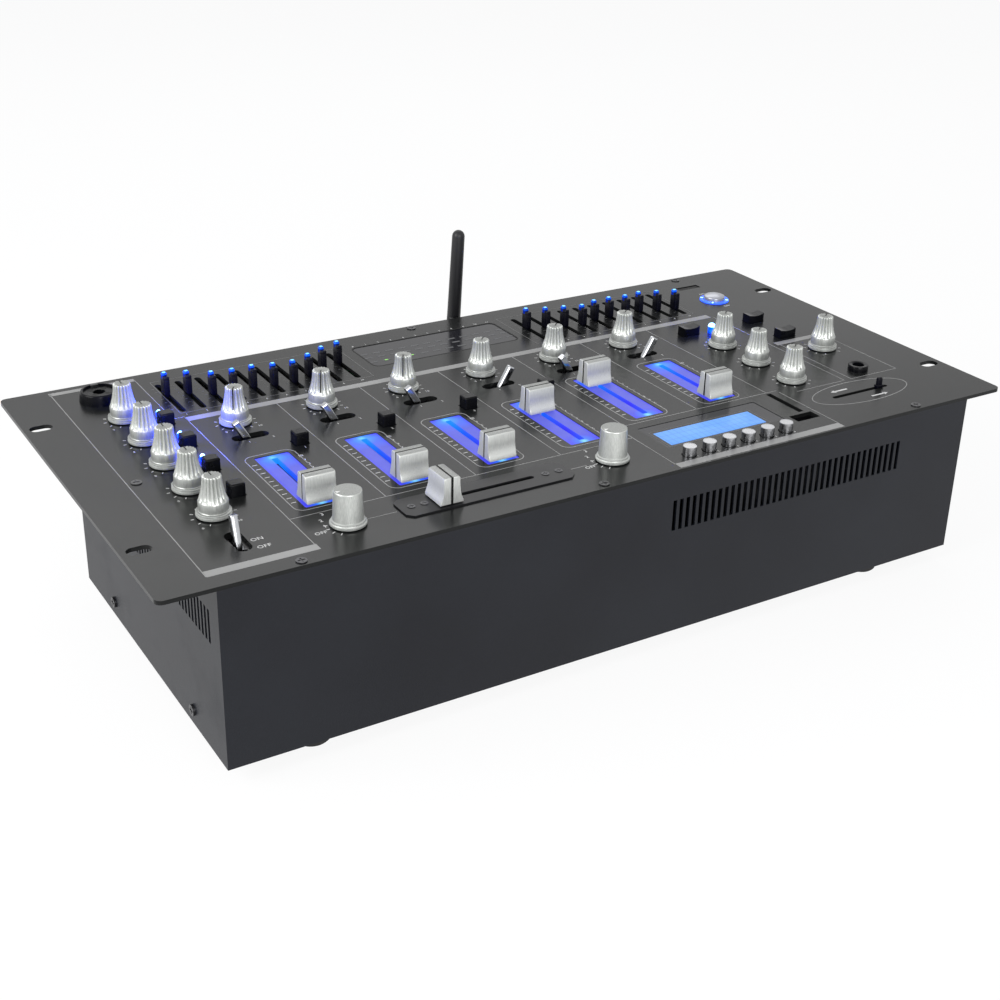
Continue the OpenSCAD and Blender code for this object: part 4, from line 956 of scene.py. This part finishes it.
# ---------------- display and meter
def make_display():
    """The lit screen, and a faint rim round it."""
    w, l = LCD_HIGH[0] - LCD_LOW[0], LCD_HIGH[1] - LCD_LOW[1]
    middle = at((LCD_LOW[0] + LCD_HIGH[0]) / 2, (LCD_LOW[1] + LCD_HIGH[1]) / 2)
    screen = loft(w, l, 0.4, [(0.0, -0.21), (0.0, -0.17), (0.05, -0.15)])
    make("lcd_screen", move(screen, middle), [LCD_GLOW], "chassis", "dark_window")
    outer, inner = rounded_outline(w + 3.6, l + 3.4, 0.8), rounded_outline(w + 2.9, l + 2.7, 0.6)
    rim = window_ring(outer, inner, -0.15, -0.21)
    make("lcd_edge", move(rim, middle), [FAINT_INK], "chassis", "dark_window")


def make_receiver():
    """Dark window of the remote receiver, sunk in its opening."""
    lens = loft(*RECEIVER_SIZE, 0.3, [(0.0, -1.6), (0.0, -0.6), (0.1, -0.5)])
    make("receiver_lens", move(lens, at(*RECEIVER_AT)), [GAP], "chassis", "dark_window")


def make_meter():
    """Unlit segments in three rows, the first of which carries three small lit ones."""
    first = METER_AT[0] - 5.5 * METER_PITCH
    rows = [METER_AT[1] + y for y in (-8.7, -2.0, 3.8)]
    pitches = (METER_PITCH, 1.0)
    grid_piece("meter_segments", [(first, y) for y in rows], -0.17, METER_DARK, "dark_window", 12, 1,
               pitches, (5.0, 1.6, 0.06))
    grid_piece("meter_lit", [(first + METER_PITCH, rows[0])], -0.13, METER_GREEN, "dark_window", 3, 1,
               pitches, (2.0, 1.1, 0.06))


# ---------------- sockets and antenna
def combo_jack():
    """Round socket with a plug hole, four dark contact slots and a steel release tab."""
    shell = [(9.0, -2.0), (9.0, 0.0), (10.4, 0.0), (10.3, 0.8), (9.8, 4.9), (9.5, 5.6), (9.2, 5.8),
             (8.5, 5.8), (8.25, 5.6), (8.2, 4.6), (PLUG_R, 4.6), (PLUG_R, -12.0), (4.2, -12.0), (4.2, -2.0)]
    ring = paint(lathe_ring(shell, 64), 0)
    body = paint(lathe_ring([(3.3, -28.0), (12.0, -28.0), (12.0, -2.02), (3.3, -2.02)]), 0)
    slots = on_diagonals(lambda: loft(2.6, 4.4, 1.2, [(0.0, 4.55), (0.0, 4.63)]), 5.0, 1)
    lock = paint(move(loft(4.2, 2.4, 0.5, [(0.0, 4.5), (0.0, 5.6), (0.3, 5.9)]), nudge(8.6)), 2)
    return move(join(ring, body, lock, *slots), at(*COMBO_AT))


def phones_jack():
    """A raised collar round a plug hole, over its square housing."""
    collar = [(4.5, -2.0), (4.5, 0.0), (5.65, 0.0), (5.6, 2.8), (5.3, 3.2), (3.9, 3.2), (PLUG_R, 2.8),
              (PLUG_R, -11.0), (4.5, -11.0)]
    body = block((-6.5, -6.5, -13.0), (6.5, 6.5, -2.02), 0.3)
    return move(join(paint(lathe_ring(collar), 0), paint(body, 0)), at(*PHONES_AT))


def make_sockets():
    """The panel's two jacks, and the coloured sleeves in two rows of phono sockets at the back."""
    jacks = join(combo_jack(), phones_jack())
    make("panel_jacks", jacks, [KEYCAP, GAP, STEEL], "chassis", "socket_plastic", "panel_sockets")
    section = [(4.2, 0.05), (5.6, 0.05), (5.6, 1.2), (5.2, 1.6), (4.2, 1.6)]
    for z, material, name in zip(PHONO_Z, (RED, WHITE), ("phono_sleeves_low", "phono_sleeves_high")):
        places = [at(PHONO_X + PHONO_PITCH * i, SOCKET_WALL_Y, z) for i in range(8)]
        sleeves = [move(lathe_ring(section, 32), place @ turn(-90, "X")) for place in places]
        make(name, join(*sleeves), [material], "chassis", "socket_plastic")


def make_whip():
    """The whip with turned rings at its foot and a round tip, over its hinge tongue."""
    barrel = move(lathe([(3.6, -2.5), (3.6, 2.5)], 32), turn(90, "Y"))
    tongue = join(barrel, block((-2.5, -3.6, 0.0), (2.5, 3.6, 5.5)))
    foot = [(4.0, 4.5), (4.28, 4.8), (4.28, 7.0), (4.05, 7.3), (4.22, 7.6), (4.2, 9.4), (4.0, 9.7),
            (4.15, 10.0)]
    angles = (0.0, 0.3, 0.6, 0.9, 1.2, 1.5)
    tip = [(WHIP_R * math.cos(a), WHIP_LENGTH + WHIP_R * math.sin(a)) for a in angles]
    whole = move(join(tongue, lathe(foot + tip)), at(*WHIP_AT) @ turn(WHIP_LEAN, "Y"))
    make("whip_rod", whole, [WHIP], "antenna_whip", "antenna_black", "antenna_whip")


# ---------------- print
def bar(x0, y0, x1, y1, width=0.4):
    """A printed line along x or y, or a filled stripe where width is 0."""
    low = [min(x0, x1), min(y0, y1)]
    high = [max(x0, x1), max(y0, y1)]
    for axis in (0, 1):
        if high[axis] - low[axis] < width:
            low[axis] -= width / 2
            high[axis] += width / 2
    return block((low[0], low[1] + PANEL_FRONT, 0.0), (high[0], high[1] + PANEL_FRONT, PRINT_T))


def outline_print(x, y, inner, outer):
    return move(window_ring(outer, inner, PRINT_T, 0.0), at(x, y))


def rounded_frame(x, y, w, l, radii, width, corner=4):
    """A printed line along a rounded rectangle, with the radii of its inner and outer corners."""
    inner = rounded_outline(w - width, l - width, radii[0], corner)
    outer = rounded_outline(w + width, l + width, radii[1], corner)
    return outline_print(x, y, inner, outer)


def rectangle_frame(x0, y0, x1, y1, r=0.6, width=0.45):
    return rounded_frame((x0 + x1) / 2, (y0 + y1) / 2, x1 - x0, y1 - y0, (r, r + width / 2), width)


def ellipse_frame(x, y, a, b, width=0.5):
    unit = circle(1.0, 0.0, 72)
    rings = [[((a + grow) * c, (b + grow) * s) for c, s, _ in unit] for grow in (-width / 2, width / 2)]
    return outline_print(x, y, *rings)


def arrow(x, y, degrees, size=2.2):
    corners = [(-size / 2, -size / 2), (size / 2, 0.0), (-size / 2, size / 2)]
    head = skin([[(px, py, z) for px, py in corners] for z in (0.0, PRINT_T)])
    return move(head, at(x, y) @ turn(degrees))


def long_arrow(x, y, degrees):
    """An arrow with a tail, its head at a place."""
    tail = move(block((-10.0, -0.6, 0.0), (-1.2, 0.6, PRINT_T)), at(x, y) @ turn(degrees))
    return join(arrow(x, y, degrees, 3.0), tail)


def lettering(text, x, y, size):
    """Figures as a thin solid, centred on a place."""
    curve = bpy.data.curves.new("figures", "FONT")
    curve.body = text
    curve.size = size
    curve.align_x = "CENTER"
    curve.align_y = "CENTER"
    curve.extrude = PRINT_T / 2
    curve.resolution_u = 2
    holder = new_object("figures", curve)
    bpy.context.view_layer.update()
    mesh = bpy.data.meshes.new_from_object(holder.evaluated_get(bpy.context.evaluated_depsgraph_get()))
    bpy.data.objects.remove(holder)
    bm = bmesh.new()
    bm.from_mesh(mesh)
    bpy.data.meshes.remove(mesh)
    return move(paint(bm, 0), at(x, y, PRINT_T / 2))


def panel_lines():
    """Lines that part the channels and frame the blocks of controls."""
    ends = [
        (-216.3, 10, -216.3, 233), (-171, 172, -171, 231), (-165, 14.8, -165, 172), (-171, 172, -165, 172),
        (-164.5, 41.3, 22, 41.3), (27, 55.5, 128, 55.5), (22.3, 6, 22.3, 53), (127.9, 6, 127.9, 53),
        (-134.5, 25.2, -119.6, 25.2), (-25.5, 25.2, -16.5, 25.2), (171.7, 49.2, 171.7, 166),
        (176.7, 49.2, 176.7, 109), (137.5, 49.2, 170.8, 49.2), (177, 49.2, 210.4, 49.2),
        (210.4, 49.2, 210.4, 113)]
    ends += [(x, 41.3, x, 165.9) for x in (-116.8, -68.8, -20.7)]
    ends += [(x, 55.5, x, 165.9) for x in (27.3, 73.8, 121.0)]
    lines = [bar(*line) for line in ends]
    lines.append(ellipse_frame(168.5, 33.3, 32.3, 12.9))
    for x, mid in zip(CHANNELS, FADER_MID):
        lines.append(rounded_frame(x - 1.1, mid + 0.65, 25.8, 64.7, (4.75, 5.25), 0.5, 8))
    return lines


def figure_places():
    """Each plain number, ON or OFF with its place and its size."""
    places = []
    for x, mid in zip(CHANNELS, FADER_MID):
        places += [(n, x + 12.1, mid - 27.2 + 5 * n, 2.8) for n in range(1, 11)]
        places += [(1, x - 3, TOGGLE_Y - 6.6, 2.2), (2, x + 10, TOGGLE_Y - 5.8, 2.2)]
        places += [(0, x - 8.5, 143.9, 2.4), (10, x + 9.5, 143.9, 2.4)]
    places += [(i + 1, x, 109.0, 2.6) for i, x in enumerate(CUE_X)]
    for x, y in map(centre, numbered("mic_knob", 5)):
        places += [(0, x - 9.0, y - 10.2, 2.2), (10, x + 8.2, y - 10.4, 2.2)]
    for x in (-143.9, -1.4):
        steps = (("OFF", -14.3, 22.7), (1, -10.1, 27.7), (2, -9.4, 33.3), (3, -6.3, 38.9))
        places += [(label, x + dx, y, 3.4) for label, dx, y in steps]
    places += [("ON", -184.8, 31.1, 3.8), ("OFF", -184.5, 23.6, 3.8)]
    places += [("ON", 192.5, 203.8, 2.6), ("OFF", 192.5, 178.6, 2.6)]
    places += [(i + 1, x + 3.2, 8.2, 2.2) for i, x in enumerate(PLAYER_X)]
    for columns in EQ_COLUMNS.values():
        places += [(i + 1, x, 174.6, 2.0) for i, x in enumerate(columns)]
    places += [(n, METER_AT[0] - 44.5 + METER_PITCH * n, 222.4, 2.2) for n in range(12)]
    return places


def make_print():
    """Lines, frames, figures and stripes printed on the panel, and the meter's dark rim."""
    arrows = [arrow(-109.6, 18, 180), arrow(-34.5, 18.8, 0)]
    make("printed_lines", join(*panel_lines(), *arrows), [LINE_INK], "chassis", "panel_paint")
    frames = [rectangle_frame(-165, 177, -54.6, 224), rectangle_frame(51.5, 177, 165, 224)]
    make("printed_frames", join(*frames), [FAINT_INK], "chassis", "panel_paint")
    (x, y), (half_w, half_l) = METER_AT, METER_HALF
    rim = rectangle_frame(x - half_w, y - half_l, x + half_w, y + half_l, 4.0, 0.7)
    make("meter_rim", rim, [GAP], "chassis", "dark_window")
    figures = [lettering(str(text), *place) for text, *place in figure_places()]
    figures += [long_arrow(154.2, 39.2, 180), long_arrow(179.4, 25.0, 0)]
    make("printed_figures", join(*figures), [INK], "chassis", "panel_paint")
    stripes = [(-216, 9.6, -164.3, 14.8), (-217, 230, -171, 233.7), (-165, 165.9, 170, 171),
               (22.5, 1.2, 127.9, 6.2), (175, 109.2, 210, 113.7)]
    make("printed_stripes", join(*[bar(*s, 0.0) for s in stripes]), [STRIPE], "chassis", "panel_paint")


def make_scales():
    """Marks round the knobs, and ticks beside the faders and the slider posts."""
    ribbed = [node for label, angles in POINTERS.items() for node in numbered(label, len(angles))]
    dial_piece("dial_marks", [centre(n) for n in ribbed], 11, 10.1, -60.0, 300.0, 1.5)
    assign = [centre("assign_knob_a"), centre("assign_knob_b")]
    dial_piece("assign_marks", assign, 4, 10.2, 162.0, 66.0, 1.8)
    ticks = [(x - 11.7, mid - 22.2) for x, mid in zip(CHANNELS, FADER_MID)]
    pitches = (1.0, 5.0)
    grid_piece("fader_ticks", ticks, PRINT_T / 2, INK, "panel_paint", 1, 10, pitches, (2.5, 0.45, PRINT_T))
    eq_ticks = [(x - 4.1, EQ_Y - 15.0) for columns in EQ_COLUMNS.values() for x in columns]
    size = (1.6, 0.35, PRINT_T)
    grid_piece("eq_ticks", eq_ticks, PRINT_T / 2, FAINT_INK, "panel_paint", 1, 7, pitches, size)


# ---------------- studio
CAMERA_AT = Vector((-0.40462, -0.64468, 0.31472))
CAMERA_FORWARD = Vector((0.47729, 0.76981, -0.42378))
CAMERA_DOWN = Vector((-0.20206, -0.37319, -0.90548))
FOCAL = 55.36
PRINCIPAL_POINT = (504.74, 463.6)
FRAME_PX = 1000.0
FLOOR_GAP = 0.0002
FLOOR_REACH = 8.0


def make_camera():
    data = bpy.data.cameras.new("camera")
    data.lens = FOCAL
    data.sensor_width = 36.0
    data.shift_x = (FRAME_PX / 2 - PRINCIPAL_POINT[0]) / FRAME_PX
    data.shift_y = (PRINCIPAL_POINT[1] - FRAME_PX / 2) / FRAME_PX
    camera = new_object("camera", data)
    back = -CAMERA_FORWARD.normalized()
    up = -CAMERA_DOWN.normalized()
    right = up.cross(back).normalized()
    up = back.cross(right)
    camera.matrix_world = Matrix.Translation(CAMERA_AT) @ Matrix((right, up, back)).transposed().to_4x4()
    bpy.context.scene.camera = camera


def softbox(name, place, aim, size, power):
    data = bpy.data.lights.new(name, "AREA")
    data.shape = "RECTANGLE"
    data.size, data.size_y = size
    data.energy = power
    lamp = new_object(name, data)
    facing = (Vector(aim) - Vector(place)).to_track_quat("-Z", "Y")
    lamp.matrix_world = Matrix.Translation(place) @ facing.to_matrix().to_4x4()


def led_glow(name, x, y, z, power):
    """The blue spill of a lamp on what stands beside it."""
    data = bpy.data.lights.new(name, "POINT")
    data.energy = power
    data.color = (0.03, 0.07, 1.0)
    data.shadow_soft_size = 0.002
    lamp = new_object(name, data)
    lamp.visible_glossy = False
    lamp.matrix_world = Matrix.Translation((x * MM, (y + PANEL_FRONT) * MM, z * MM))


def background_switch(tree):
    """1 where a camera, mirror or see-through ray looks, 0 for the light that falls on the object."""
    path = tree.nodes.new("ShaderNodeLightPath").outputs
    either = maths(tree, "MAXIMUM", path["Is Camera Ray"], path["Is Glossy Ray"])
    return maths(tree, "MAXIMUM", either, path["Is Transmission Ray"])


def mix_surface(tree, share, first, second, output):
    mixed = add(tree, "ShaderNodeMixShader", {"Fac": share, 1: first, 2: second}).outputs["Shader"]
    feed(tree, tree.nodes[output], {"Surface": mixed})


def make_world():
    world = bpy.data.worlds.new("studio")
    world.use_nodes = True
    bpy.context.scene.world = world
    tree = world.node_tree
    light = feed(tree, tree.nodes["Background"], {"Color": (0.93, 0.95, 1.0, 1.0), "Strength": 0.55})
    white = add(tree, "ShaderNodeBackground", {"Color": (1.0, 1.0, 1.0, 1.0), "Strength": 1.0})
    mix_surface(tree, background_switch(tree), light.outputs["Background"], white.outputs["Background"],
                "World Output")


def make_floor():
    """A pale floor: white where the camera looks, and it still takes the object's shadow."""
    material, tree, shader, _ = start_material("floor_paper")
    feed(tree, shader, {"Base Color": (0.9, 0.9, 0.9, 1.0), "Roughness": 0.9})
    glow = add(tree, "ShaderNodeEmission", {"Strength": 1.0})
    share = times(tree, background_switch(tree), 0.9)
    mix_surface(tree, share, shader.outputs["BSDF"], glow.outputs["Emission"], "Material Output")
    z = FLOOR_Z * MM - FLOOR_GAP
    corners = [(x * FLOOR_REACH, y * FLOOR_REACH, z) for x, y in ((-1, -1), (1, -1), (1, 1), (-1, 1))]
    mesh = bpy.data.meshes.new("floor")
    mesh.from_pydata(corners, [], [(0, 1, 2, 3)])
    new_object("floor", mesh, [material])


def make_studio():
    bpy.context.scene.view_settings.view_transform = "Standard"
    make_camera()
    make_world()
    make_floor()
    softbox("key_left", (-1.3, 0.0, 0.75), (0.0, 0.0, -0.05), (1.0, 0.8), 18.0)
    softbox("top_back", (0.5, 1.1, 1.0), (0.0, 0.0, 0.0), (1.4, 0.7), 5.0)
    softbox("front_fill", (-0.3, -1.5, 0.6), (0.0, 0.0, 0.0), (1.0, 0.6), 15.0)
    for name, (x, y) in zip(numbered("mic_glow", 3), LED_PLACES):
        led_glow(name, x - 1.2, y - 0.5, 6.5, 0.11)
    led_glow("tall_glow", TALL_LED[0], TALL_LED[1] - 3.4, 6.0, 0.06)
    led_glow("bank_glow", CHANNEL_X - 13.0, 160.0, 14.0, 0.006)


# ---------------- the object
make_studio()
coat_nodes()
make_ribbed_knobs()
make_assign_knobs()
make_faders()
make_windows()
make_toggles()
make_eq_banks()
make_keys()
make_power_button()
make_monitor_slider()
make_leds()
make_display()
make_receiver()
make_meter()
make_sockets()
make_whip()
make_print()
make_scales()

bpy.context.view_layer.update()
